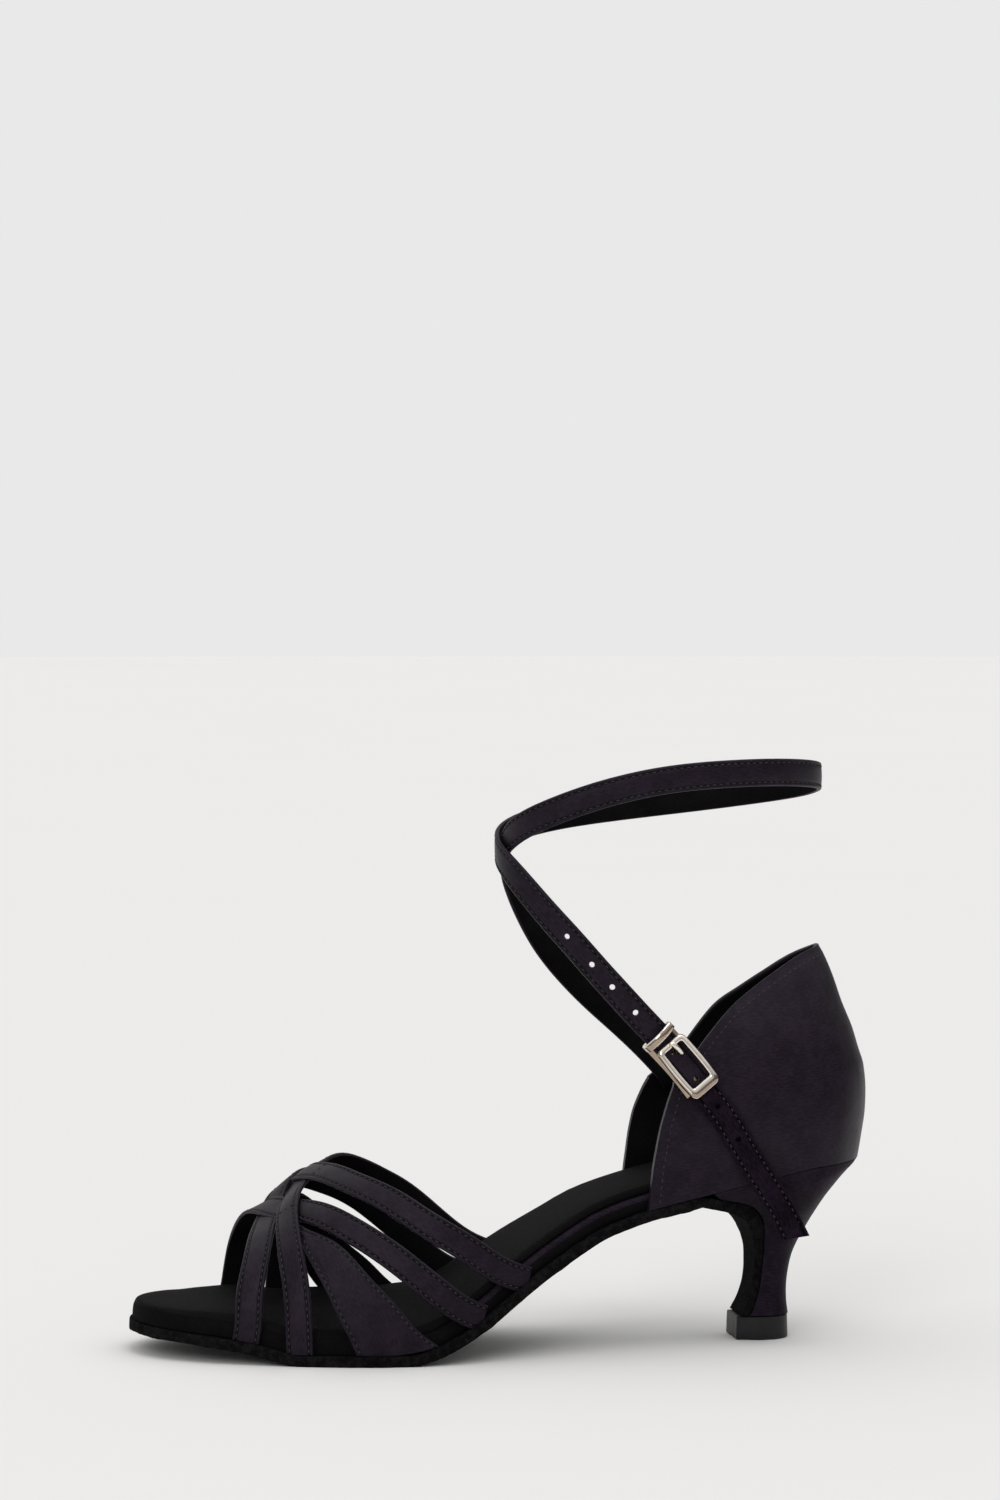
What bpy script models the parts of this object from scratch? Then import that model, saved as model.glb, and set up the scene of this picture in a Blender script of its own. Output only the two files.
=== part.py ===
"""Open-toe ballroom dance shoe for the left foot, built from named sizes.

The toe points along -X, the little-toe side faces -Y and +Z is up. The origin
is the middle of the heel tip's tread, on the floor. Lengths are in metres.
"""

import math

import bmesh
import bpy
from mathutils import Vector

# Driving sizes of the last and the sole
SOLE_LENGTH = 0.2308
BALL_WIDTH = 0.0780
SEAT_WIDTH = 0.0490
HEEL_HEIGHT = 0.0540
TOE_SPRING = 0.0066
OUTSOLE_THICKNESS = 0.0033
INSOLE_THICKNESS = 0.0047
SOCK_THICKNESS = 0.0024
SOLE_RIM = 0.0026
SOCK_INSET = 0.0012
SOCK_ROUNDING = 0.0014
INSOLE_ROUNDING = 0.0008
EDGE_CHAMFER = 0.0006
BIG_TOE_CURL = 0.0045

# Driving sizes of the heel
SEAT_OVERHANG = 0.0313
TREAD_LENGTH = 0.0180
TREAD_WIDTH = 0.0180
CAP_HEIGHT = 0.0075
CAP_TAPER = 0.0018
CAP_SPREAD = 0.0002

# Driving sizes of the upper
INSTEP_HEIGHT = 0.0500
VAMP_STRAP_WIDTH = 0.0083
VAMP_STRAP_THICKNESS = 0.0016
COUNTER_RISE = 0.0672
COUNTER_WALL = 0.0022

# Driving sizes of the ankle strap and its buckle
ANKLE_LENGTH = 0.1006
ANKLE_WIDTH = 0.0530
ANKLE_SETBACK = 0.0630
ANKLE_RISE = 0.1230
STRAP_WIDTH = 0.0086
STRAP_THICKNESS = 0.0018
BUCKLE_LENGTH = 0.0195
BUCKLE_WIDTH = 0.0114
BUCKLE_BAR = 0.0019
BUCKLE_DEPTH = 0.0016
PRONG_DIAMETER = 0.0014
KEEPER_WIDTH = 0.0026
KEEPER_SETBACK = 0.0032
KEEPER_CROWN = 0.0006
BUCKLE_CORNER = 0.0019
PLATE_THICKNESS = 0.0008

# Running clearance between pieces that touch
GAP = 0.0003

# Height of the sole's underside: station as a share of the sole's length from the toe,
# share of the toe spring, share of the heel height
BASE_ROWS = (
    (0.000, 1.00, 0.000),
    (0.048, 0.89, 0.000),
    (0.091, 0.76, 0.000),
    (0.134, 0.56, 0.000),
    (0.165, 0.33, 0.000),
    (0.191, 0.09, 0.000),
    (0.208, 0.00, 0.000),
    (0.351, 0.00, 0.000),
    (0.381, 0.00, 0.025),
    (0.416, 0.00, 0.083),
    (0.459, 0.00, 0.190),
    (0.503, 0.00, 0.325),
    (0.546, 0.00, 0.454),
    (0.589, 0.00, 0.566),
    (0.633, 0.00, 0.669),
    (0.676, 0.00, 0.732),
    (0.719, 0.00, 0.781),
    (0.763, 0.00, 0.824),
    (0.806, 0.00, 0.870),
    (0.871, 0.00, 0.934),
    (0.927, 0.00, 0.980),
    (1.000, 0.00, 1.000),
)

# Outline of the sole's front: station, big-toe side, little-toe side, as shares of the ball width
FOREPART_ROWS = (
    (0.000, 0.103, -0.103),
    (0.010, 0.244, 0.038),
    (0.030, 0.328, 0.133),
    (0.060, 0.395, 0.215),
    (0.100, 0.444, 0.290),
    (0.150, 0.478, 0.355),
    (0.200, 0.497, 0.410),
    (0.270, 0.510, 0.469),
    (0.330, 0.503, 0.497),
    (0.390, 0.474, 0.500),
    (0.460, 0.410, 0.465),
    (0.530, 0.330, 0.404),
    (0.610, 0.275, 0.338),
)

# Outline of the sole's back: station, big-toe side, little-toe side, as shares of the seat width
BACKPART_ROWS = (
    (0.690, 0.445, 0.482),
    (0.760, 0.476, 0.480),
    (0.840, 0.502, 0.502),
    (0.900, 0.496, 0.496),
    (0.945, 0.439, 0.439),
    (0.975, 0.322, 0.322),
    (0.992, 0.188, 0.188),
    (1.000, 0.000, 0.000),
)

# Rim of the sole round the insole: station, share of the full rim
RIM_ROWS = (
    (0.000, 0.30),
    (0.050, 0.45),
    (0.110, 1.00),
    (1.000, 1.00),
)

# Padding of the sock: station, share of its thickness
PADDING_ROWS = (
    (0.000, 0.25),
    (0.020, 0.35),
    (0.060, 0.56),
    (0.110, 0.82),
    (0.170, 1.00),
    (1.000, 1.00),
)

# Upturn of the big-toe edge at the ball: station, share of the curl
CURL_ROWS = (
    (0.000, 0.00),
    (0.070, 0.00),
    (0.100, 0.25),
    (0.130, 0.55),
    (0.190, 1.00),
    (0.340, 1.00),
    (0.390, 0.80),
    (0.430, 0.20),
    (0.460, 0.00),
    (1.000, 0.00),
)

# Suede down the heel's breast: drop as a share of the height from the turn to the cap,
# reach from the turn to the tread's front, width as a share from the tread's to the turn's,
# depth as a share of the outsole's thickness
BREAST_ROWS = (
    (0.000, 0.000, 1.000, 1.00),
    (0.035, 0.400, 0.910, 1.00),
    (0.081, 0.760, 0.755, 1.20),
    (0.148, 1.050, 0.510, 1.45),
    (0.226, 1.220, 0.280, 1.40),
    (0.340, 1.340, 0.098, 1.05),
    (0.469, 1.400, 0.000, 0.75),
    (0.571, 1.400, -0.050, 0.68),
    (0.728, 1.360, -0.077, 0.66),
    (0.854, 1.270, -0.056, 0.66),
    (0.949, 1.170, -0.020, 0.66),
    (1.000, 1.100, 0.000, 0.66),
)

# Heel sections: drop of the breast point, then the back point's height as a share from the
# cap to the seat, its reach from the tread's back to the seat's, and the width in between
HEEL_ROWS = (
    (1.000, 0.000, 0.000, 0.000),
    (0.949, 0.030, -0.010, -0.020),
    (0.854, 0.090, -0.025, -0.050),
    (0.728, 0.200, -0.025, -0.062),
    (0.571, 0.335, 0.020, -0.025),
    (0.469, 0.450, 0.105, 0.060),
    (0.340, 0.613, 0.295, 0.290),
    (0.226, 0.770, 0.500, 0.610),
    (0.148, 0.868, 0.675, 0.805),
    (0.081, 0.937, 0.820, 0.920),
    (0.035, 0.980, 0.930, 0.970),
)

# Foot's section above the sole, from the instep's ridge to the edge: share of the way round,
# share of the half width, share of the height above the insole on the little-toe and on the
# big-toe side, share of the insole's side
FOOT_ROWS = (
    (0.00, 0.000, 1.000, 1.000, 0.0),
    (0.12, 0.220, 0.982, 1.020, 0.0),
    (0.25, 0.450, 0.925, 0.965, 0.0),
    (0.38, 0.660, 0.825, 0.835, 0.0),
    (0.50, 0.820, 0.690, 0.705, 0.0),
    (0.62, 0.940, 0.520, 0.555, 0.0),
    (0.72, 1.000, 0.355, 0.385, 0.0),
    (0.81, 1.030, 0.200, 0.215, 0.0),
    (0.88, 1.035, 0.090, 0.090, 0.0),
    (0.93, 1.015, 0.025, 0.025, 0.0),
    (0.96, 1.005, 0.000, 0.000, 0.2),
    (1.00, 1.005, 0.000, 0.000, 1.0),
)

# Height of the foot above the insole: station, share of the instep height
INSTEP_ROWS = (
    (0.030, 0.10),
    (0.070, 0.28),
    (0.113, 0.43),
    (0.143, 0.52),
    (0.186, 0.66),
    (0.221, 0.79),
    (0.256, 0.91),
    (0.286, 0.98),
    (0.312, 1.04),
    (0.351, 1.13),
    (0.416, 1.31),
    (0.480, 1.50),
    (0.550, 1.70),
)
RIDGE_SHIFT = 0.16

# Vamp straps: turn round the foot, station of the middle line, share of the lift over a neighbour
VAMP_STRAPS = {
    "rear_little": (
        (-1.00, 0.526, 0.0),
        (-0.80, 0.464, 0.0),
        (-0.64, 0.401, 0.0),
        (-0.45, 0.336, 0.0),
        (-0.28, 0.290, 0.3),
        (-0.12, 0.265, 1.0),
        (0.06, 0.247, 1.0),
        (0.17, 0.238, 0.0),
        (0.30, 0.233, 0.0),
        (0.44, 0.230, 0.8),
        (0.56, 0.227, 0.8),
        (0.75, 0.224, 0.0),
        (1.00, 0.217, 0.0),
    ),
    "front_little": (
        (-1.00, 0.461, 0.0),
        (-0.84, 0.412, 0.0),
        (-0.63, 0.323, 0.0),
        (-0.50, 0.277, 0.0),
        (-0.30, 0.230, 0.0),
        (-0.14, 0.202, 0.0),
        (-0.05, 0.191, 1.0),
        (0.10, 0.175, 1.0),
        (0.25, 0.164, 0.0),
        (0.64, 0.156, 0.0),
        (0.89, 0.150, 0.0),
        (1.00, 0.148, 0.0),
    ),
    "rear_big": (
        (-1.00, 0.210, 0.0),
        (-0.80, 0.206, 0.0),
        (-0.72, 0.205, 0.0),
        (-0.50, 0.204, 1.0),
        (-0.30, 0.208, 1.0),
        (-0.13, 0.219, 1.0),
        (-0.05, 0.229, 0.0),
        (0.08, 0.248, 0.0),
        (0.25, 0.286, 0.0),
        (0.53, 0.360, 0.0),
        (0.75, 0.440, 0.0),
        (0.90, 0.494, 0.0),
        (1.00, 0.524, 0.0),
    ),
    "front_big": (
        (-1.00, 0.139, 0.0),
        (-0.80, 0.139, 0.0),
        (-0.40, 0.156, 0.0),
        (-0.05, 0.182, 0.0),
        (0.03, 0.193, 0.0),
        (0.12, 0.210, 1.0),
        (0.30, 0.251, 1.0),
        (0.42, 0.282, 0.0),
        (0.65, 0.353, 0.0),
        (0.78, 0.409, 0.0),
        (0.90, 0.453, 0.0),
        (1.00, 0.483, 0.0),
    ),
}

# Wedge panels between the straps: turn, stations of the front and the rear edge
LITTLE_WEDGE = (
    (-1.00, 0.282, 0.398),
    (-0.82, 0.256, 0.338),
    (-0.70, 0.240, 0.299),
    (-0.57, 0.224, 0.268),
    (-0.41, 0.214, 0.225),
    (-0.34, 0.211, 0.216),
)
BIG_WEDGE = (
    (0.42, 0.228, 0.250),
    (0.50, 0.228, 0.264),
    (0.60, 0.230, 0.280),
    (0.74, 0.243, 0.308),
    (0.85, 0.260, 0.360),
    (1.00, 0.290, 0.412),
)
WEDGE_SHARE = 0.8
LIFT_SHARE = 0.8
LIFT_STEP = 0.00006

# Heel counter: height above the seat as a share of its rise, backward lean as a share of
# the rise, width as a share of the seat's, and how much tighter its back is rounded
COUNTER_ROWS = (
    (0.000, 0.000, 1.000, 1.00),
    (0.115, 0.018, 1.060, 1.00),
    (0.234, 0.034, 1.085, 1.00),
    (0.323, 0.037, 1.075, 1.00),
    (0.436, 0.027, 1.035, 1.03),
    (0.516, 0.002, 0.985, 1.08),
    (0.613, -0.027, 0.910, 1.15),
    (0.734, -0.076, 0.770, 1.28),
    (0.853, -0.116, 0.600, 1.45),
    (0.948, -0.155, 0.430, 1.60),
    (1.000, -0.183, 0.320, 1.70),
)

# Counter's front edge: height as a share of the rise, distance from the seat's back on the
# little-toe and the big-toe side as shares of the sole's length
COUNTER_FRONT_ROWS = (
    (-0.250, 0.313, 0.313),
    (-0.050, 0.307, 0.307),
    (0.167, 0.298, 0.295),
    (0.296, 0.288, 0.280),
    (0.396, 0.278, 0.264),
    (0.500, 0.272, 0.256),
)

# Counter's top line: share of the way from the back to the front edge, height on the
# little-toe and the big-toe side as shares of the rise
COUNTER_TOP_ROWS = (
    (0.000, 1.000, 1.000),
    (0.185, 0.961, 0.941),
    (0.393, 0.885, 0.849),
    (0.530, 0.822, 0.781),
    (0.680, 0.736, 0.700),
    (0.890, 0.549, 0.478),
    (1.000, 0.396, 0.345),
)

# Ankle strap round the ankle: turn in degrees from the front, height above the seat as a
# share of the ankle's rise, share of a strap's thickness that it stands out
ANKLE_ROWS = (
    (-82.6, 0.322, 0.0),
    (-69.5, 0.399, 0.0),
    (-55.0, 0.494, 0.0),
    (-43.5, 0.571, 0.0),
    (-27.0, 0.686, 0.0),
    (-13.0, 0.757, 0.0),
    (0.0, 0.810, 0.0),
    (20.0, 0.859, 0.0),
    (39.0, 0.898, 0.0),
    (54.0, 0.932, 0.0),
    (70.0, 0.963, 0.0),
    (86.0, 0.985, 0.0),
    (103.0, 0.996, 0.0),
    (127.0, 1.000, 0.0),
    (150.0, 0.993, 0.0),
    (168.0, 0.984, 0.0),
    (180.0, 0.976, 0.0),
    (192.0, 0.967, 0.0),
    (205.0, 0.955, 0.0),
    (225.0, 0.938, 0.0),
    (250.0, 0.916, 0.0),
    (273.0, 0.898, 0.0),
    (296.0, 0.880, 0.3),
    (309.0, 0.866, 0.8),
    (325.0, 0.850, 1.0),
    (343.0, 0.823, 1.0),
    (360.0, 0.794, 1.0),
    (378.0, 0.750, 1.0),
    (388.0, 0.706, 1.0),
    (400.0, 0.637, 0.7),
    (410.0, 0.575, 0.2),
    (419.5, 0.506, 0.0),
    (427.5, 0.450, 0.0),
    (435.5, 0.388, 0.0),
)

# Ankle strap's start inside the counter: distance from the seat's back as a share of the
# sole's length, height above the seat as a share of the counter's rise
START_ROWS = (
    (0.235, 0.330),
    (0.252, 0.410),
)

# Ankle strap over the counter: distance from the seat's back as a share of the sole's
# length, height above the seat as a share of the counter's rise, room under it
TAIL_ROWS = (
    (0.2845, 0.559, 1.00),
    (0.2635, 0.475, 1.00),
    (0.2455, 0.396, 1.00),
    (0.229, 0.320, 0.55),
    (0.207, 0.223, 0.12),
    (0.184, 0.083, 0.10),
    (0.158, -0.054, 0.20),
    (0.132, -0.196, 0.40),
    (0.114, -0.323, 0.50),
)
BUCKLE_ROW = 1
BUCKLE_TILT = 14.0

# Heel's D-shaped section: shares of its depth, where it is widest, how square it turns
RING_SHARES = (0.0, 0.1, 0.22, 0.36, 0.5, 0.63, 0.75, 0.85, 0.93, 0.98, 1.0)
RING_WAIST = 0.45
RING_POWER = 2.3

# Section of the buckle's bar: share of its width, share of its depth
FRAME_SECTION = (
    (0.00, 0.15),
    (0.15, 0.00),
    (0.85, 0.00),
    (1.00, 0.15),
    (1.00, 0.60),
    (0.70, 1.00),
    (0.30, 1.00),
    (0.00, 0.60),
)

# Prong: place in bar widths from the frame's front, rise from strap to bar, share of its width
PRONG_ROWS = (
    (0.3, 1.0, 0.6),
    (0.6, 1.0, 1.0),
    (1.25, 1.0, 1.0),
    (2.1, 0.5, 1.0),
    (3.0, 0.0, 1.0),
)
PRONG_SIDES = 8
BUCKLE_ROOM = 2.2
PLATE_STEPS = 6
ROUTE_STEPS = 2
COUNTER_COLUMNS = 12
COUNTER_LEVELS = 9
COUNTER_CROWDING = 1.8

TURN_STATION = 0.763
HEEL_FRONT_STATION = 0.782
PLATE_STATIONS = 30
CURL_START = 0.30


def column(rows, index):
    """Read one column of a table as a smooth function of its first column."""
    xs = [row[0] for row in rows]
    ys = [row[index] for row in rows]
    steps = [xs[i + 1] - xs[i] for i in range(len(xs) - 1)]
    rates = [(ys[i + 1] - ys[i]) / steps[i] for i in range(len(steps))]
    slopes = [rates[0]]
    for i in range(1, len(rates)):
        before, after = rates[i - 1], rates[i]
        if before * after <= 0.0:
            slopes.append(0.0)
        else:
            slopes.append(2.0 * before * after / (before + after))
    slopes.append(rates[-1])

    def value(x):
        i = 0
        while i < len(steps) - 1 and x > xs[i + 1]:
            i += 1
        t = min(max((x - xs[i]) / steps[i], 0.0), 1.0)
        t2, t3 = t * t, t * t * t
        return (
            (2 * t3 - 3 * t2 + 1) * ys[i]
            + (t3 - 2 * t2 + t) * steps[i] * slopes[i]
            + (3 * t2 - 2 * t3) * ys[i + 1]
            + (t3 - t2) * steps[i] * slopes[i + 1]
        )

    return value


def mix(start, end, share):
    """Value or point at a share of the way from start to end."""
    return start + (end - start) * share


def station_angle(station):
    """Turn a station into an angle, so that round ends stay round between rows."""
    return math.acos(min(max(1.0 - 2.0 * station, -1.0), 1.0))


TOE_X = SEAT_OVERHANG - SOLE_LENGTH
PLAN_ROWS = [(station_angle(s), m * BALL_WIDTH, l * BALL_WIDTH) for s, m, l in FOREPART_ROWS]
PLAN_ROWS += [(station_angle(s), m * SEAT_WIDTH, l * SEAT_WIDTH) for s, m, l in BACKPART_ROWS]
PLAN = {1: column(PLAN_ROWS, 1), -1: column(PLAN_ROWS, 2)}
TOE_RISE = column(BASE_ROWS, 1)
HEEL_RISE = column(BASE_ROWS, 2)
CURL = column(CURL_ROWS, 1)
RIM = column(RIM_ROWS, 1)
PADDING = column(PADDING_ROWS, 1)
INSTEP = column(INSTEP_ROWS, 1)
FOOT_OUT = column(FOOT_ROWS, 1)
FOOT_UP = {-1: column(FOOT_ROWS, 2), 1: column(FOOT_ROWS, 3)}
FOOT_DOWN = column(FOOT_ROWS, 4)


def station_x(station):
    """Place of a station along the shoe."""
    return TOE_X + station * SOLE_LENGTH


def station_at(x):
    """Station of a place along the shoe."""
    return (x - TOE_X) / SOLE_LENGTH


def base_z(x):
    """Height of the sole's underside above the floor."""
    station = station_at(x)
    return TOE_RISE(station) * TOE_SPRING + HEEL_RISE(station) * HEEL_HEIGHT


def base_slope(x):
    """Slope of the sole's underside."""
    step = 0.002 * SOLE_LENGTH
    return (base_z(x + step) - base_z(x - step)) / (2.0 * step)


def half_width(x, side):
    """Distance of the outline from the middle on one side: 1 big toe, -1 little toe."""
    return PLAN[side](station_angle(station_at(x)))


def curl(x, y):
    """Upturn of the sole's big-toe edge."""
    start = CURL_START * half_width(x, 1)
    reach = min(max((y - start) / (half_width(x, 1) - start), 0.0), 1.0) if y > start else 0.0
    return BIG_TOE_CURL * CURL(station_at(x)) * reach


def layer(x, y, height):
    """Point above the sole's underside, measured square to it."""
    slope = base_slope(x)
    length = math.hypot(1.0, slope)
    z = base_z(x) + curl(x, y) + height / length
    return Vector((x - height * slope / length, y, z))


def level_z(x, height):
    """Height above the floor of a layer over the underside, straight above a place."""
    return base_z(x) + height * math.hypot(1.0, base_slope(x))


def outline_point(angle, side, inset):
    """Point of the outline moved inwards by the inset."""
    step = 0.002

    def raw(a):
        return Vector((station_x((1.0 - math.cos(a)) / 2.0), side * PLAN[side](a)))

    low, high = max(angle - step, 0.0), min(angle + step, math.pi)
    along = (raw(high) - raw(low)).normalized()
    inward = Vector((along.y, -along.x)) * side
    if angle <= step or angle >= math.pi - step:
        inward = Vector((1.0 if angle <= step else -1.0, 0.0))
    return raw(angle) + inward * inset * RIM((1.0 - math.cos(angle)) / 2.0)


def station_angles():
    """Angles of the stations at which every layer of the sole has a section."""
    return [math.pi * i / PLATE_STATIONS for i in range(PLATE_STATIONS + 1)]


def outline(inset):
    """Closed outline, little-toe side from toe to heel and big-toe side back again."""
    angles = station_angles()
    little = [outline_point(a, -1, inset) for a in angles]
    big = [outline_point(a, 1, inset) for a in angles]
    return little + big[::-1]


def finish(name, mesh_data, material):
    """Make an object of a bmesh, closed, facing out and shaded smooth."""
    bmesh.ops.remove_doubles(mesh_data, verts=mesh_data.verts, dist=1e-7)
    bmesh.ops.dissolve_degenerate(mesh_data, edges=mesh_data.edges, dist=1e-7)
    bmesh.ops.recalc_face_normals(mesh_data, faces=mesh_data.faces)
    mesh = bpy.data.meshes.new(name)
    mesh_data.to_mesh(mesh)
    mesh_data.free()
    mesh.shade_smooth()
    mesh.set_sharp_from_angle(angle=math.radians(35))
    mesh.materials.append(material)
    item = bpy.data.objects.new(name, mesh)
    bpy.context.scene.collection.objects.link(item)
    return item


def skin(name, loops, material, joined=False, across=None):
    """Skin a body over loops of points and close its ends with strips.

    With across, a function of a loop's number and a strip's, each strip also gets
    that function's points between its two edges.
    """
    mesh_data = bmesh.new()
    rows = [[mesh_data.verts.new(point) for point in loop] for loop in loops]
    count = len(rows[0])
    pairs = list(zip(rows, rows[1:]))
    if joined:
        pairs.append((rows[-1], rows[0]))
    for near, far in pairs:
        for i in range(count):
            j = (i + 1) % count
            mesh_data.faces.new((near[i], near[j], far[j], far[i]))
    ends = () if joined else (0, len(rows) - 1)
    for end in ends:
        row = rows[end]
        strips = []
        for i in range(count // 2):
            between = across(end, i) if across else []
            strips.append([row[i]] + [mesh_data.verts.new(p) for p in between] + [row[-1 - i]])
        for near, far in zip(strips, strips[1:]):
            for a, b, c, d in zip(near, near[1:], far[1:], far):
                mesh_data.faces.new((a, b, c, d))
    return finish(name, mesh_data, material)


def rim_width(x, side, inset):
    """Distance from the middle to the outline moved inwards, measured across the shoe."""
    step = 0.004 * SOLE_LENGTH
    slope = (half_width(x + step, side) - half_width(x - step, side)) / (2.0 * step)
    return half_width(x, side) - inset * math.hypot(1.0, slope)


def foot_point(x, turn):
    """Point on the foot's surface: turn -1 little-toe edge, 0 instep ridge, 1 big-toe edge."""
    side = 1 if turn > 0 else -1
    way = abs(turn)
    inset = SOLE_RIM - GAP
    little, big = rim_width(x, -1, inset), rim_width(x, 1, inset)
    ridge = (big - little) / 2.0 + RIDGE_SHIFT * (big + little) / 2.0
    reach = side * (little if side < 0 else big) - ridge
    top = OUTSOLE_THICKNESS + GAP + INSOLE_THICKNESS
    y = ridge + reach * FOOT_OUT(way)
    height = mix(top, OUTSOLE_THICKNESS + 1.5 * GAP, FOOT_DOWN(way))
    rise = INSTEP(station_at(x)) * INSTEP_HEIGHT * FOOT_UP[side](way)
    point = layer(x, 0.0, height)
    upturn = curl(x, ridge + reach + VAMP_STRAP_THICKNESS) * way * way
    return Vector((point.x, y, point.z + upturn + rise))


def foot_normal(x, turn):
    """Direction out of the foot's surface."""
    along = foot_point(x + 0.0005, turn) - foot_point(x - 0.0005, turn)
    low, high = max(turn - 0.006, -1.0), min(turn + 0.006, 1.0)
    round_foot = foot_point(x, high) - foot_point(x, low)
    return along.cross(round_foot).normalized()


def finish_of(name, colour, roughness, metallic=0.0):
    """Plain material with the piece's colour."""
    material = bpy.data.materials.new(name)
    material.use_nodes = True
    shader = material.node_tree.nodes["Principled BSDF"]
    shader.inputs["Base Color"].default_value = (*colour, 1.0)
    shader.inputs["Roughness"].default_value = roughness
    shader.inputs["Metallic"].default_value = metallic
    return material


def inner_points(little, big, height):
    """Points where the sole's flat middle ends, between its two edges."""
    points = []
    for share in (-CURL_START, CURL_START):
        x = mix(little.x, big.x, (1.0 + share) / 2.0)
        side = 1 if share > 0 else -1
        y = side * CURL_START * half_width(x, side)
        limit = sorted((little.y, big.y))
        y = min(max(y, limit[0]), limit[1])
        points.append(layer(x, y, height))
    return points


def plate(name, inset, bottom, thickness, rounding, material, padded=False):
    """Closed plate over the underside with rounded upper edges, padded more towards the ball."""
    levels = (
        (inset + 0.4 * rounding, 0.0),
        (inset, 0.25),
        (inset, 0.60),
        (inset + rounding, 1.0),
    )
    flats = [outline(shift) for shift, share in levels]

    def height(x, share):
        full = PADDING(station_at(x)) if padded else 1.0
        return bottom + thickness * share * full

    loops = []
    for flat, (shift, share) in zip(flats, levels):
        loops.append([layer(p.x, p.y, height(p.x, share)) for p in flat])

    def across(end, i):
        near, far = flats[end][i], flats[end][-1 - i]
        middle = mix(near.x, far.x, 0.5)
        return inner_points(near, far, height(middle, levels[end][1]))

    return skin(name, loops, material, across=across)


def breast_point(drop, share, clearance=0.0):
    """Point in the suede down the heel's breast, from face 0 to back 1, and its half width."""
    turn_x = station_x(TURN_STATION)
    turn_z = base_z(turn_x)
    front = -TREAD_LENGTH / 2
    reach = column(BREAST_ROWS, 1)
    depth = share * OUTSOLE_THICKNESS * column(BREAST_ROWS, 3)(drop) + clearance
    floor = CAP_HEIGHT + GAP

    def face(d):
        return Vector((mix(turn_x, front, reach(d)), 0.0, mix(turn_z, floor, d)))

    step = 0.01
    along = face(min(drop + step, 1.0)) - face(max(drop - step, 0.0))
    along.normalize()
    behind = Vector((-along.z, 0.0, along.x))
    waist = (half_width(turn_x, 1) + half_width(turn_x, -1)) / 2
    width = mix(TREAD_WIDTH / 2, waist, column(BREAST_ROWS, 2)(drop))
    point = face(drop) + behind * depth
    point.z = max(point.z, floor)
    return point, width


def sole_edge(little, big):
    """Section of the suede sole: distance from the middle and share of the thickness."""
    corner = min(EDGE_CHAMFER, 0.5 * (little + big))
    low, high = corner - little, big - corner
    upper = (
        (-little, 0.75),
        (low, 1.0),
        (min(max(-CURL_START * little, low), high), 1.0),
        (min(max(CURL_START * big, low), high), 1.0),
        (high, 1.0),
        (big, 0.75),
    )
    return upper + tuple((y, 1.0 - share) for y, share in reversed(upper))


def build_outsole(material):
    """Suede sole: the flat ball, the toe spring, the arch and the flap down the breast."""
    rings = []
    last = station_angle(TURN_STATION)
    for angle in [a for a in station_angles() if a < last] + [last]:
        x = station_x((1.0 - math.cos(angle)) / 2.0)
        edge = sole_edge(half_width(x, -1), half_width(x, 1))
        rings.append([layer(x, y, share * OUTSOLE_THICKNESS) for y, share in edge])
    for row in BREAST_ROWS[1:]:
        low, width = breast_point(row[0], 0.0)
        high, width = breast_point(row[0], 1.0)
        points = [(y, mix(low, high, share)) for y, share in sole_edge(width, width)]
        rings.append([Vector((point.x, y, point.z)) for y, point in points])
    return skin("outsole", rings, material)


def heel_ring(front, back, front_width, width):
    """D-shaped section from its breast point and its back point."""
    little = []
    for share in RING_SHARES:
        if share < RING_WAIST:
            ease = share / RING_WAIST
            y = mix(front_width, width, ease * ease * (3 - 2 * ease))
        else:
            bend = ((share - RING_WAIST) / (1.0 - RING_WAIST)) ** RING_POWER
            y = width * (1.0 - bend) ** (1 / RING_POWER)
        point = mix(front, back, share)
        little.append(Vector((point.x, -y, point.z)))
    return little + [Vector((p.x, -p.y, p.z)) for p in reversed(little)]


def build_heel(material):
    """Flared heel from the cap up to the seat."""
    loops = []
    waist = SEAT_WIDTH / 2
    low = CAP_HEIGHT + GAP
    seat = layer(SEAT_OVERHANG, 0.0, OUTSOLE_THICKNESS)
    for drop, rise, reach, wide in HEEL_ROWS:
        front, front_width = breast_point(drop, 1.0, GAP)
        back = Vector((mix(TREAD_LENGTH / 2, SEAT_OVERHANG, reach), 0.0, mix(low, seat.z, rise)))
        width = mix(TREAD_WIDTH / 2, waist, wide)
        loops.append(heel_ring(front, back, front_width, width))
    top = []
    start = station_x(HEEL_FRONT_STATION)
    for side in (-1, 1):
        line = []
        for share in RING_SHARES:
            x = mix(start, SEAT_OVERHANG, share)
            line.append(layer(x, side * half_width(x, side), OUTSOLE_THICKNESS))
        top += line if side < 0 else line[::-1]
    loops.append(top)
    return skin("heel", loops, material)


def build_cap(material):
    """Hard tip under the heel, square at the breast and round at the back."""
    loops = []
    for z, grow in ((0.0, -EDGE_CHAMFER), (EDGE_CHAMFER, 0.0), (CAP_HEIGHT, -CAP_SPREAD)):
        front = Vector((-TREAD_LENGTH / 2 - grow, 0.0, z))
        back = Vector((TREAD_LENGTH / 2 + grow, 0.0, z))
        half = TREAD_WIDTH / 2 + grow
        loops.append(heel_ring(front, back, half - CAP_TAPER, half))
    return skin("heel_cap", loops, material)


VAMP_TURNS = (
    0.0, 0.05, 0.10, 0.15, 0.20, 0.26, 0.32, 0.38, 0.45, 0.53,
    0.61, 0.69, 0.76, 0.82, 0.88, 0.93, 0.96, 1.0,
)


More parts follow.
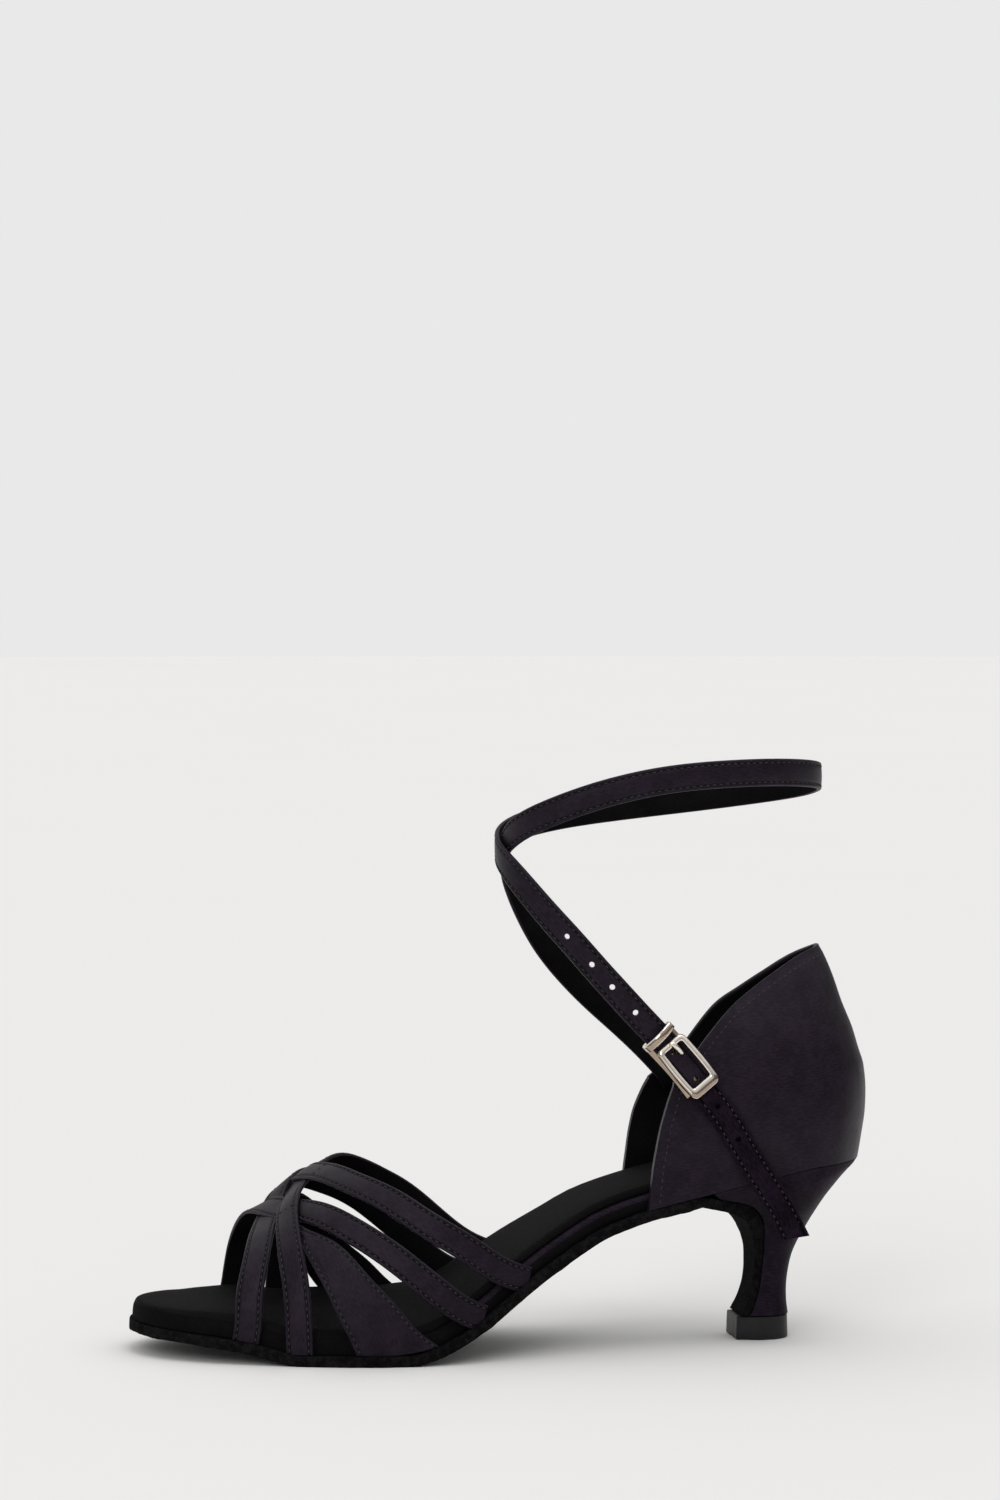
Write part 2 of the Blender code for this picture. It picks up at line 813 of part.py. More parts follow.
def panel_ring(front, rear, turn, lift, thickness):
    """Ring of a strap's or a panel's section at one turn round the foot."""
    outer, inner = [], []
    for share in (0.0, 0.5, 1.0):
        x = mix(front, rear, share)
        point, normal = foot_point(x, turn), foot_normal(x, turn)
        inner.append(point + normal * lift)
        outer.append(point + normal * (lift + thickness))
    return outer + inner[::-1]


def vamp_strap(name, order, rows, material):
    """One strap from edge to edge over the foot, at its true width."""
    middle, raised = column(rows, 1), column(rows, 2)
    step = 0.01
    rings = []
    for turn in [-t for t in reversed(VAMP_TURNS[1:])] + list(VAMP_TURNS):
        low, high = max(turn - step, -1.0), min(turn + step, 1.0)
        start = foot_point(station_x(middle(low)), low)
        run = (foot_point(station_x(middle(high)), high) - start).normalized()
        across = max(math.sqrt(1.0 - run.x * run.x), 0.5)
        half = VAMP_STRAP_WIDTH / 2 / across
        x = station_x(middle(turn))
        lift = raised(turn) * LIFT_SHARE * VAMP_STRAP_THICKNESS + order * LIFT_STEP
        rings.append(panel_ring(x - half, x + half, turn, lift, VAMP_STRAP_THICKNESS))
    return skin(name, rings, material)


def vamp_wedge(name, rows, material):
    """One wedge panel between two straps."""
    front, rear = column(rows, 1), column(rows, 2)
    low, high = rows[0][0], rows[-1][0]
    turns = [t * (1 if high > 0.0 else -1) for t in VAMP_TURNS if t > min(abs(low), abs(high))]
    turns = sorted(turns + [low if high > 0.0 else high])
    rings = []
    for turn in turns:
        ends = station_x(front(turn)), station_x(rear(turn))
        rings.append(panel_ring(*ends, turn, 0.0, WEDGE_SHARE * VAMP_STRAP_THICKNESS))
    return skin(name, rings, material)


def add_piece(body, piece):
    """Join a piece to a body."""
    piece.hide_render = True
    piece.display_type = "WIRE"
    union = body.modifiers.new(piece.name, "BOOLEAN")
    union.operation = "UNION"
    union.solver = "EXACT"
    union.object = piece


def joined_body(name, body, material):
    """One closed body of a body and the pieces joined to it, without pockets between them."""
    bpy.context.view_layer.update()
    graph = bpy.context.evaluated_depsgraph_get()
    mesh = bpy.data.meshes.new_from_object(body.evaluated_get(graph), depsgraph=graph)
    for union in body.modifiers:
        bpy.data.objects.remove(union.object, do_unlink=True)
    bpy.data.objects.remove(body, do_unlink=True)
    mesh_data = bmesh.new()
    mesh_data.from_mesh(mesh)
    shells = []
    left = set(mesh_data.verts)
    while left:
        shell = set()
        found = [left.pop()]
        while found:
            vert = found.pop()
            shell.add(vert)
            near = {edge.other_vert(vert) for edge in vert.link_edges} & left
            left -= near
            found += near
        shells.append(shell)
    shells.sort(key=len)
    for shell in shells[:-1]:
        bmesh.ops.delete(mesh_data, geom=list(shell), context="VERTS")
    return finish(name, mesh_data, material)


def build_vamp(material):
    """Straps and wedges, joined where they cross."""
    pieces = []
    for order, (name, rows) in enumerate(VAMP_STRAPS.items(), 1):
        pieces.append(vamp_strap("vamp_" + name, order, rows, material))
    pieces.append(vamp_wedge("vamp_little_wedge", LITTLE_WEDGE, material))
    pieces.append(vamp_wedge("vamp_big_wedge", BIG_WEDGE, material))
    for piece in pieces[1:]:
        add_piece(pieces[0], piece)
    return joined_body("vamp", pieces[0], material)


SEAT_Z = HEEL_HEIGHT + OUTSOLE_THICKNESS
LEAN = column(COUNTER_ROWS, 1)
COUNTER_WIDTH = column(COUNTER_ROWS, 2)
COUNTER_ROUND = column(COUNTER_ROWS, 3)
COUNTER_FRONT = {-1: column(COUNTER_FRONT_ROWS, 1), 1: column(COUNTER_FRONT_ROWS, 2)}
COUNTER_TOP = {-1: column(COUNTER_TOP_ROWS, 1), 1: column(COUNTER_TOP_ROWS, 2)}


def counter_rise(z):
    """Height above the seat as a share of the counter's rise."""
    return (z - SEAT_Z) / COUNTER_RISE


def counter_back(z):
    """Back of the counter at one height."""
    return SEAT_OVERHANG + LEAN(counter_rise(z)) * COUNTER_RISE


def counter_front(z, side):
    """Front edge of the counter at one height."""
    return SEAT_OVERHANG - COUNTER_FRONT[side](counter_rise(z)) * SOLE_LENGTH


def counter_half(x, z, side):
    """Distance of the counter's outside from the middle."""
    rise = counter_rise(z)
    behind = SEAT_OVERHANG - max(counter_back(z) - x, 0.0) * COUNTER_ROUND(rise)
    return half_width(behind, side) * COUNTER_WIDTH(rise)


def counter_point(share, rise, side):
    """Point on the counter's outside, by shares of its depth and of its local height."""
    x = mix(SEAT_OVERHANG, counter_front(SEAT_Z - 0.25 * COUNTER_RISE, side), share)
    low = level_z(x, OUTSOLE_THICKNESS + GAP)
    high = SEAT_Z + COUNTER_TOP[side](share) * COUNTER_RISE
    z = mix(low, high, rise)
    x = mix(counter_back(z), counter_front(z, side), share)
    return Vector((x, side * counter_half(x, z, side), z))


def build_quarter(material):
    """Heel counter: a shell round the heel, open at the front and the top."""
    shares = [(i / COUNTER_COLUMNS) ** COUNTER_CROWDING for i in range(COUNTER_COLUMNS + 1)]
    path = [(share, -1) for share in reversed(shares)] + [(share, 1) for share in shares[1:]]
    levels = [j / COUNTER_LEVELS for j in range(COUNTER_LEVELS + 1)]
    grid = [[counter_point(share, level, side) for level in levels] for share, side in path]
    rings = []
    for i, line in enumerate(grid):
        outer, inner = [], []
        for j, point in enumerate(line):
            near, far = grid[max(i - 1, 0)][j], grid[min(i + 1, len(grid) - 1)][j]
            under, over = line[max(j - 1, 0)], line[min(j + 1, COUNTER_LEVELS)]
            inward = (far - near).cross(over - under).normalized()
            if inward.dot(Vector((-0.02, 0.0, point.z)) - point) < 0.0:
                inward.negate()
            moved = point + inward * COUNTER_WALL
            moved.z = max(moved.z, level_z(moved.x, OUTSOLE_THICKNESS + GAP))
            outer.append(point)
            inner.append(moved)
        rings.append(outer + inner[::-1])
    return skin("quarter", rings, material)


def smooth_route(points, count):
    """Points of a curve through all the given ones, with even steps in each span."""
    route = []
    for i in range(len(points) - 1):
        before = points[max(i - 1, 0)]
        start, end = points[i], points[i + 1]
        after = points[min(i + 2, len(points) - 1)]
        for k in range(count):
            t = k / count
            route.append(
                0.5
                * (
                    2.0 * start
                    + (end - before) * t
                    + (2.0 * before - 5.0 * start + 4.0 * end - after) * t * t
                    + (3.0 * start - before - 3.0 * end + after) * t * t * t
                )
            )
    route.append(points[-1])
    return route


def strap_route():
    """Middle line of the ankle strap and the direction out of it, end to tail."""
    centre = SEAT_OVERHANG - ANKLE_SETBACK
    half = STRAP_THICKNESS / 2
    line, normals = [], []
    for share, level in START_ROWS:
        x = SEAT_OVERHANG - share * SOLE_LENGTH
        z = SEAT_Z + level * COUNTER_RISE
        y = counter_half(x, z, 1) - COUNTER_WALL - 2.0 * GAP - half
        line.append(Vector((x, y, z)))
        normals.append(Vector((0.0, 1.0, 0.0)))
    for turn, rise, out in ANKLE_ROWS:
        angle = math.radians(turn)
        normal = Vector((-math.cos(angle) / ANKLE_LENGTH, -math.sin(angle) / ANKLE_WIDTH, 0.0))
        normal.normalize()
        x = centre - ANKLE_LENGTH / 2 * math.cos(angle)
        y = -ANKLE_WIDTH / 2 * math.sin(angle)
        z = SEAT_Z + rise * ANKLE_RISE
        line.append(Vector((x, y, z)) + normal * out * (STRAP_THICKNESS + 1.5 * GAP))
        normals.append(normal)
    room = PLATE_THICKNESS + 2.0 * GAP
    for share, level, under in TAIL_ROWS:
        x = SEAT_OVERHANG - share * SOLE_LENGTH
        z = SEAT_Z + level * COUNTER_RISE
        y = -counter_half(x, z, -1) - 2.0 * GAP - under * room - half
        line.append(Vector((x, y, z)))
        tilt = math.radians(BUCKLE_TILT * under)
        normals.append(Vector((0.0, -math.cos(tilt), math.sin(tilt))))
    return line, normals


def build_ankle_strap(material):
    """The long strap: out of the counter, round the ankle, back across and down to its tail."""
    line, normals = strap_route()
    route = smooth_route(line, ROUTE_STEPS)
    facing = smooth_route(normals, ROUTE_STEPS)
    rings = []
    for i, point in enumerate(route):
        run = route[min(i + 1, len(route) - 1)] - route[max(i - 1, 0)]
        run.normalize()
        normal = (facing[i] - run * facing[i].dot(run)).normalized()
        across = run.cross(normal) * STRAP_WIDTH / 2
        out = normal * STRAP_THICKNESS / 2
        outer = [point - across + out * 0.7, point + out, point + across + out * 0.7]
        inner = [point + across - out, point - out, point - across - out]
        rings.append(outer + inner)
    return skin("ankle_strap", rings, material)


def strap_place(distance):
    """Middle of the strap at a distance down it from the buckle, its run, width and way out."""
    line, normals = strap_route()
    at = len(line) - len(TAIL_ROWS) + BUCKLE_ROW
    route = smooth_route(line, ROUTE_STEPS)
    facing = smooth_route(normals, ROUTE_STEPS)
    i = at * ROUTE_STEPS
    step = 1 if distance >= 0.0 else -1
    left = abs(distance)
    while left > (route[i + step] - route[i]).length:
        left -= (route[i + step] - route[i]).length
        i += step
    share = left / (route[i + step] - route[i]).length
    middle = mix(route[i], route[i + step], share)
    run = (route[i + 1] - route[i - 1]).normalized()
    facing_out = mix(facing[i], facing[i + step], share)
    out = (facing_out - run * facing_out.dot(run)).normalized()
    return middle, run, run.cross(out), out


def on_strap(distance, across, level):
    """Point at a distance down the strap from the buckle, across it and above its middle."""
    middle, run, width, out = strap_place(distance)
    return middle + width * across + out * level


def rounded_rectangle(length, width, radius, steps=3):
    """Points of a rectangle with round corners, as pairs along and across."""
    points = []
    corners = ((1, 1, 0.0), (-1, 1, 90.0), (-1, -1, 180.0), (1, -1, 270.0))
    for along, across, start in corners:
        for k in range(steps + 1):
            angle = math.radians(start + 90.0 * k / steps)
            u = along * (length / 2 - radius) + radius * math.cos(angle)
            v = across * (width / 2 - radius) + radius * math.sin(angle)
            points.append((u, v))
    return points


def build_buckle_frame(material):
    """Rectangular frame with round corners, lying on the strap."""
    middle, run, across, out = strap_place(0.0)
    base = STRAP_THICKNESS / 2 + BUCKLE_ROOM * GAP
    outlines = []
    for share, height in FRAME_SECTION:
        shrink = 2.0 * BUCKLE_BAR * share
        radius = BUCKLE_CORNER - 0.7 * BUCKLE_BAR * share
        flat = rounded_rectangle(BUCKLE_LENGTH - shrink, BUCKLE_WIDTH - shrink, radius)
        level = base + BUCKLE_DEPTH * height
        outlines.append([middle + run * u + across * v + out * level for u, v in flat])
    rings = [list(ring) for ring in zip(*outlines)]
    return skin("buckle_frame", rings, material, joined=True)


def build_buckle_prong(material):
    """Short tongue out of the strap's hole and over the frame's front bar."""
    middle, run, across, out = strap_place(0.0)
    radius = PRONG_DIAMETER / 2
    low = STRAP_THICKNESS / 2 + BUCKLE_ROOM * GAP + radius
    high = low + BUCKLE_DEPTH + GAP
    rings = []
    for bars, rise, size in PRONG_ROWS:
        place = bars * BUCKLE_BAR - BUCKLE_LENGTH / 2
        level = mix(low, high, rise)
        ring = []
        for k in range(PRONG_SIDES):
            angle = math.tau * (k + 0.5) / PRONG_SIDES
            point = middle + run * place + out * (level + radius * size * math.sin(angle))
            ring.append(point + across * radius * size * math.cos(angle))
        rings.append(ring)
    return skin("buckle_prong", rings, material)


def build_buckle_keeper(material):
    """Metal loop over the strap with a thin plate that lies under it."""
    half = STRAP_THICKNESS / 2
    place = -BUCKLE_LENGTH / 2 - KEEPER_SETBACK
    inside = STRAP_WIDTH / 2 + 2.0 * GAP
    top, bottom = half + 2.0 * GAP, -half - GAP
    sections = []
    for grow in (0.0, PLATE_THICKNESS):
        wide, high, low = inside + grow, top + grow, bottom - grow
        corner = PLATE_THICKNESS + 0.6 * grow
        sections.append(
            (
                (-wide, low),
                (wide, low),
                (wide, high - corner),
                (wide - corner, high),
                (0.0, high + KEEPER_CROWN),
                (corner - wide, high),
                (-wide, high - corner),
            )
        )
    rings = []
    front, back = place - KEEPER_WIDTH / 2, place + KEEPER_WIDTH / 2
    for within, outside in zip(*sections):
        corners = ((front, within), (front, outside), (back, outside), (back, within))
        rings.append([on_strap(along, *spot) for along, spot in corners])
    keeper = skin("keeper_loop", rings, material, joined=True)
    rings = []
    wide = inside + 0.5 * PLATE_THICKNESS
    upper, lower = bottom - 0.1 * PLATE_THICKNESS, bottom - 0.9 * PLATE_THICKNESS
    for k in range(PLATE_STEPS + 1):
        along = mix(place, BUCKLE_LENGTH / 2 - BUCKLE_BAR, k / PLATE_STEPS)
        corners = ((-wide, upper), (wide, upper), (wide, lower), (-wide, lower))
        rings.append([on_strap(along, *spot) for spot in corners])
    add_piece(keeper, skin("keeper_plate", rings, material))
    return joined_body("buckle_keeper", keeper, material)


def build():
    """Clear the scene and build each piece."""
    for item in list(bpy.data.objects):
        bpy.data.objects.remove(item, do_unlink=True)
    suede = finish_of("suede", (0.012, 0.011, 0.012), 0.95)
    satin = finish_of("satin", (0.022, 0.016, 0.024), 0.45)
    lining = finish_of("lining", (0.012, 0.011, 0.011), 0.7)
    metal = finish_of("nickel", (0.75, 0.70, 0.62), 0.2, 1.0)
    plastic = finish_of("cap_plastic", (0.015, 0.015, 0.015), 0.4)
    build_outsole(suede)
    insole_bottom = OUTSOLE_THICKNESS + GAP
    plate("insole", SOLE_RIM, insole_bottom, INSOLE_THICKNESS, INSOLE_ROUNDING, satin)
    sock_bottom = insole_bottom + INSOLE_THICKNESS + GAP
    sock_inset = SOLE_RIM + SOCK_INSET
    plate("sock", sock_inset, sock_bottom, SOCK_THICKNESS, SOCK_ROUNDING, lining, padded=True)
    build_heel(satin)
    build_cap(plastic)
    build_vamp(satin)
    build_quarter(satin)
    build_ankle_strap(satin)
    build_buckle_frame(metal)
    build_buckle_prong(metal)
    build_buckle_keeper(metal)


build()
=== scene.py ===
import math

import bmesh
import bpy
from bpy.props import FloatProperty, FloatVectorProperty, PointerProperty
from mathutils import Matrix, Vector, noise


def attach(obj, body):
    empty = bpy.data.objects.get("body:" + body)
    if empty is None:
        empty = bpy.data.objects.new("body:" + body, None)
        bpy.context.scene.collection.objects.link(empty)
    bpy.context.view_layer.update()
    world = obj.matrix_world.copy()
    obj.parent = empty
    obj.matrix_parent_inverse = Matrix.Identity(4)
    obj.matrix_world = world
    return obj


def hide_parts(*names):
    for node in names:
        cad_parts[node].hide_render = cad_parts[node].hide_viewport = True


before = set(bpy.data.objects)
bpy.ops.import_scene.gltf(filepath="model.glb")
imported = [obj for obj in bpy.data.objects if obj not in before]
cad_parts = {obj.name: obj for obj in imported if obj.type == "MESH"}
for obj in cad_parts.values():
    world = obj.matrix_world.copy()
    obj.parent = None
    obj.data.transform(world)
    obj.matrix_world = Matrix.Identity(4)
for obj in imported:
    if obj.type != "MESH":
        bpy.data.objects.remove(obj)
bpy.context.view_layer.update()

bl_info = {
    "name": "Ballroom Dance Shoe",
    "version": (1, 0, 0),
    "blender": (4, 5, 0),
    "location": "View3D > Sidebar > Dance Shoe",
    "description": "Satin, suede, leather and polished metal for an open-toe dance shoe",
    "category": "Object",
}

# Sizes of the last and the sole, in metres
SOLE_LENGTH = 0.2308
BALL_WIDTH = 0.0780
SEAT_WIDTH = 0.0490
HEEL_HEIGHT = 0.0540
TOE_SPRING = 0.0066
OUTSOLE_THICKNESS = 0.0033
INSOLE_THICKNESS = 0.0047
SOCK_THICKNESS = 0.0024
SOLE_RIM = 0.0026
SOCK_INSET = 0.0012
SOCK_ROUNDING = 0.0014
EDGE_CHAMFER = 0.0006
BIG_TOE_CURL = 0.0045

# Sizes of the heel
SEAT_OVERHANG = 0.0313
TREAD_LENGTH = 0.0180
TREAD_WIDTH = 0.0180
CAP_HEIGHT = 0.0075
CAP_TAPER = 0.0018
CAP_SPREAD = 0.0002

# Sizes of the upper
INSTEP_HEIGHT = 0.0500
VAMP_STRAP_WIDTH = 0.0083
VAMP_STRAP_THICKNESS = 0.0016
COUNTER_RISE = 0.0672
COUNTER_WALL = 0.0022

# Sizes of the ankle strap and its buckle
ANKLE_LENGTH = 0.1006
ANKLE_WIDTH = 0.0530
ANKLE_SETBACK = 0.0630
ANKLE_RISE = 0.1230
STRAP_WIDTH = 0.0086
STRAP_THICKNESS = 0.0018
BUCKLE_LENGTH = 0.0195
BUCKLE_WIDTH = 0.0114
BUCKLE_BAR = 0.0019
BUCKLE_DEPTH = 0.0016
PRONG_DIAMETER = 0.0014
KEEPER_WIDTH = 0.0026
KEEPER_SETBACK = 0.0032
KEEPER_CROWN = 0.0006
BUCKLE_CORNER = 0.0019
PLATE_THICKNESS = 0.0008

# Clearance between pieces that touch
GAP = 0.0003

# Height of the sole's underside: station from the toe, share of the toe spring, of the heel
BASE_ROWS = (
    (0.000, 1.00, 0.000),
    (0.048, 0.89, 0.000),
    (0.091, 0.76, 0.000),
    (0.134, 0.56, 0.000),
    (0.165, 0.33, 0.000),
    (0.191, 0.09, 0.000),
    (0.208, 0.00, 0.000),
    (0.351, 0.00, 0.000),
    (0.381, 0.00, 0.025),
    (0.416, 0.00, 0.083),
    (0.459, 0.00, 0.190),
    (0.503, 0.00, 0.325),
    (0.546, 0.00, 0.454),
    (0.589, 0.00, 0.566),
    (0.633, 0.00, 0.669),
    (0.676, 0.00, 0.732),
    (0.719, 0.00, 0.781),
    (0.763, 0.00, 0.824),
    (0.806, 0.00, 0.870),
    (0.871, 0.00, 0.934),
    (0.927, 0.00, 0.980),
    (1.000, 0.00, 1.000),
)

# Outline of the sole's front: station, big-toe side, little-toe side, shares of the ball width
FOREPART_ROWS = (
    (0.000, 0.103, -0.103),
    (0.010, 0.244, 0.038),
    (0.030, 0.328, 0.133),
    (0.060, 0.395, 0.215),
    (0.100, 0.444, 0.290),
    (0.150, 0.478, 0.355),
    (0.200, 0.497, 0.410),
    (0.270, 0.510, 0.469),
    (0.330, 0.503, 0.497),
    (0.390, 0.474, 0.500),
    (0.460, 0.410, 0.465),
    (0.530, 0.330, 0.404),
    (0.610, 0.275, 0.338),
)

# Outline of the sole's back: station, big-toe side, little-toe side, shares of the seat width
BACKPART_ROWS = (
    (0.690, 0.445, 0.482),
    (0.760, 0.476, 0.480),
    (0.840, 0.502, 0.502),
    (0.900, 0.496, 0.496),
    (0.945, 0.439, 0.439),
    (0.975, 0.322, 0.322),
    (0.992, 0.188, 0.188),
    (1.000, 0.000, 0.000),
)

# Rim of the sole round the insole: station, share of the full rim
RIM_ROWS = (
    (0.000, 0.30),
    (0.050, 0.45),
    (0.110, 1.00),
    (1.000, 1.00),
)

# Padding of the sock: station, share of its thickness
PADDING_ROWS = (
    (0.000, 0.25),
    (0.020, 0.35),
    (0.060, 0.56),
    (0.110, 0.82),
    (0.170, 1.00),
    (1.000, 1.00),
)

# Upturn of the big-toe edge at the ball: station, share of the curl
CURL_ROWS = (
    (0.000, 0.00),
    (0.070, 0.00),
    (0.100, 0.25),
    (0.130, 0.55),
    (0.190, 1.00),
    (0.340, 1.00),
    (0.390, 0.80),
    (0.430, 0.20),
    (0.460, 0.00),
    (1.000, 0.00),
)
CURL_START = 0.30
CURL_POWER = 1.3

# Suede down the heel's breast: drop, reach, width and depth as shares
BREAST_ROWS = (
    (0.000, 0.000, 1.000, 1.00),
    (0.035, 0.400, 0.910, 1.00),
    (0.081, 0.760, 0.755, 1.20),
    (0.148, 1.050, 0.510, 1.45),
    (0.226, 1.220, 0.280, 1.40),
    (0.340, 1.340, 0.098, 1.05),
    (0.469, 1.400, 0.000, 0.75),
    (0.571, 1.400, -0.050, 0.68),
    (0.728, 1.360, -0.077, 0.66),
    (0.854, 1.270, -0.056, 0.66),
    (0.949, 1.170, -0.020, 0.66),
    (1.000, 1.100, 0.000, 0.66),
)

# Heel sections: drop of the breast point, back point's height and reach, width, as shares
HEEL_ROWS = (
    (1.000, 0.000, 0.000, 0.000),
    (0.949, 0.030, -0.010, -0.020),
    (0.854, 0.090, -0.025, -0.050),
    (0.728, 0.200, -0.025, -0.062),
    (0.571, 0.335, 0.020, -0.025),
    (0.469, 0.450, 0.105, 0.060),
    (0.340, 0.613, 0.295, 0.290),
    (0.226, 0.770, 0.500, 0.610),
    (0.148, 0.868, 0.675, 0.805),
    (0.081, 0.937, 0.820, 0.920),
    (0.035, 0.980, 0.930, 0.970),
)
RING_WAIST = 0.45
RING_POWER = 2.3

# Foot's section above the sole: way round, share of the half width, shares of the height on
# the little-toe and the big-toe side, share of the insole's side
FOOT_ROWS = (
    (0.00, 0.000, 1.000, 1.000, 0.0),
    (0.12, 0.220, 0.982, 1.020, 0.0),
    (0.25, 0.450, 0.925, 0.965, 0.0),
    (0.38, 0.660, 0.825, 0.835, 0.0),
    (0.50, 0.820, 0.690, 0.705, 0.0),
    (0.62, 0.940, 0.520, 0.555, 0.0),
    (0.72, 1.000, 0.355, 0.385, 0.0),
    (0.81, 1.030, 0.200, 0.215, 0.0),
    (0.88, 1.035, 0.090, 0.090, 0.0),
    (0.93, 1.015, 0.025, 0.025, 0.0),
    (0.96, 1.005, 0.000, 0.000, 0.2),
    (1.00, 1.005, 0.000, 0.000, 1.0),
)

# Height of the foot above the insole: station, share of the instep height
INSTEP_ROWS = (
    (0.030, 0.10),
    (0.070, 0.28),
    (0.113, 0.43),
    (0.143, 0.52),
    (0.186, 0.66),
    (0.221, 0.79),
    (0.256, 0.91),
    (0.286, 0.98),
    (0.312, 1.04),
    (0.351, 1.13),
    (0.416, 1.31),
    (0.480, 1.50),
    (0.550, 1.70),
)
RIDGE_SHIFT = 0.16

# Vamp straps: turn round the foot, station of the middle line, share of the lift
VAMP_STRAPS = {
    "rear_little": (
        (-1.00, 0.526, 0.0),
        (-0.80, 0.464, 0.0),
        (-0.64, 0.401, 0.0),
        (-0.45, 0.336, 0.0),
        (-0.28, 0.290, 0.3),
        (-0.12, 0.265, 1.0),
        (0.06, 0.247, 1.0),
        (0.17, 0.238, 0.0),
        (0.30, 0.233, 0.0),
        (0.44, 0.230, 0.8),
        (0.56, 0.227, 0.8),
        (0.75, 0.224, 0.0),
        (1.00, 0.217, 0.0),
    ),
    "front_little": (
        (-1.00, 0.461, 0.0),
        (-0.84, 0.412, 0.0),
        (-0.63, 0.323, 0.0),
        (-0.50, 0.277, 0.0),
        (-0.30, 0.230, 0.0),
        (-0.14, 0.202, 0.0),
        (-0.05, 0.191, 1.0),
        (0.10, 0.175, 1.0),
        (0.25, 0.164, 0.0),
        (0.64, 0.156, 0.0),
        (0.89, 0.150, 0.0),
        (1.00, 0.148, 0.0),
    ),
    "rear_big": (
        (-1.00, 0.210, 0.0),
        (-0.80, 0.206, 0.0),
        (-0.72, 0.205, 0.0),
        (-0.50, 0.204, 1.0),
        (-0.30, 0.208, 1.0),
        (-0.13, 0.219, 1.0),
        (-0.05, 0.229, 0.0),
        (0.08, 0.248, 0.0),
        (0.25, 0.286, 0.0),
        (0.53, 0.360, 0.0),
        (0.75, 0.440, 0.0),
        (0.90, 0.494, 0.0),
        (1.00, 0.524, 0.0),
    ),
    "front_big": (
        (-1.00, 0.139, 0.0),
        (-0.80, 0.139, 0.0),
        (-0.40, 0.156, 0.0),
        (-0.05, 0.182, 0.0),
        (0.03, 0.193, 0.0),
        (0.12, 0.210, 1.0),
        (0.30, 0.251, 1.0),
        (0.42, 0.282, 0.0),
        (0.65, 0.353, 0.0),
        (0.78, 0.409, 0.0),
        (0.90, 0.453, 0.0),
        (1.00, 0.483, 0.0),
    ),
}

# Wedge panels between the straps: turn, stations of the front and the rear edge
VAMP_PANELS = {
    "little": (
        (-1.00, 0.282, 0.398),
        (-0.82, 0.256, 0.338),
        (-0.70, 0.240, 0.299),
        (-0.57, 0.224, 0.268),
        (-0.41, 0.214, 0.225),
        (-0.34, 0.211, 0.216),
    ),
    "big": (
        (0.42, 0.228, 0.250),
        (0.50, 0.228, 0.264),
        (0.60, 0.230, 0.280),
        (0.74, 0.243, 0.308),
        (0.85, 0.260, 0.360),
        (1.00, 0.290, 0.412),
    ),
}
PANEL_SHARE = 0.8
LIFT_SHARE = 0.95
LIFT_STEP = 0.00006
VAMP_THICKNESS = 0.0013
COVER_SPREAD = 0.52

# Short seams across a strap where it is tacked at the crossing: strap, turn
CROSS_SEAMS = (("rear_big", -0.235), ("rear_little", -0.075))

# Counter: height above the seat, backward lean, width, roundness of its back, as shares
COUNTER_ROWS = (
    (0.000, 0.000, 1.000, 1.00),
    (0.115, 0.018, 1.060, 1.00),
    (0.234, 0.034, 1.085, 1.00),
    (0.323, 0.037, 1.075, 1.00),
    (0.436, 0.027, 1.035, 1.03),
    (0.516, 0.002, 0.985, 1.08),
    (0.613, -0.027, 0.910, 1.15),
    (0.734, -0.076, 0.770, 1.28),
    (0.853, -0.116, 0.600, 1.45),
    (0.948, -0.155, 0.430, 1.60),
    (1.000, -0.183, 0.320, 1.70),
)

# Counter's front edge: lowest height, then height and distance from the seat's back on each
# side, as shares
COUNTER_FOOT = -0.25
COUNTER_FRONT_ROWS = (
    (-0.250, 0.313, 0.313),
    (-0.050, 0.307, 0.307),
    (0.167, 0.298, 0.295),
    (0.296, 0.288, 0.280),
    (0.396, 0.278, 0.264),
    (0.500, 0.272, 0.256),
)

# Counter's top line: share of the way forward, height on each side as a share of the rise
COUNTER_TOP_ROWS = (
    (0.000, 1.000, 1.000),
    (0.185, 0.961, 0.941),
    (0.393, 0.885, 0.849),
    (0.530, 0.822, 0.781),
    (0.680, 0.736, 0.700),
    (0.890, 0.549, 0.478),
    (1.000, 0.396, 0.345),
)

# Ankle strap round the ankle: turn in degrees, rise, share of a thickness that it stands out
ANKLE_ROWS = (
    (-82.6, 0.322, 0.0),
    (-69.5, 0.399, 0.0),
    (-55.0, 0.494, 0.0),
    (-43.5, 0.571, 0.0),
    (-27.0, 0.686, 0.0),
    (-13.0, 0.757, 0.0),
    (0.0, 0.810, 0.0),
    (20.0, 0.859, 0.0),
    (39.0, 0.898, 0.0),
    (54.0, 0.932, 0.0),
    (70.0, 0.963, 0.0),
    (86.0, 0.985, 0.0),
    (103.0, 0.996, 0.0),
    (127.0, 1.000, 0.0),
    (150.0, 0.993, 0.0),
    (168.0, 0.984, 0.0),
    (180.0, 0.976, 0.0),
    (192.0, 0.967, 0.0),
    (205.0, 0.955, 0.0),
    (225.0, 0.938, 0.0),
    (250.0, 0.916, 0.0),
    (273.0, 0.898, 0.0),
    (296.0, 0.880, 0.3),
    (309.0, 0.866, 0.8),
    (325.0, 0.850, 1.0),
    (343.0, 0.823, 1.0),
    (360.0, 0.794, 1.0),
    (378.0, 0.750, 1.0),
    (388.0, 0.706, 1.0),
    (400.0, 0.637, 0.7),
    (410.0, 0.575, 0.2),
    (419.5, 0.506, 0.0),
    (427.5, 0.450, 0.0),
    (435.5, 0.388, 0.0),
)

# Ankle strap's start inside the counter: distance from the seat's back, height
START_ROWS = (
    (0.235, 0.330),
    (0.252, 0.410),
)

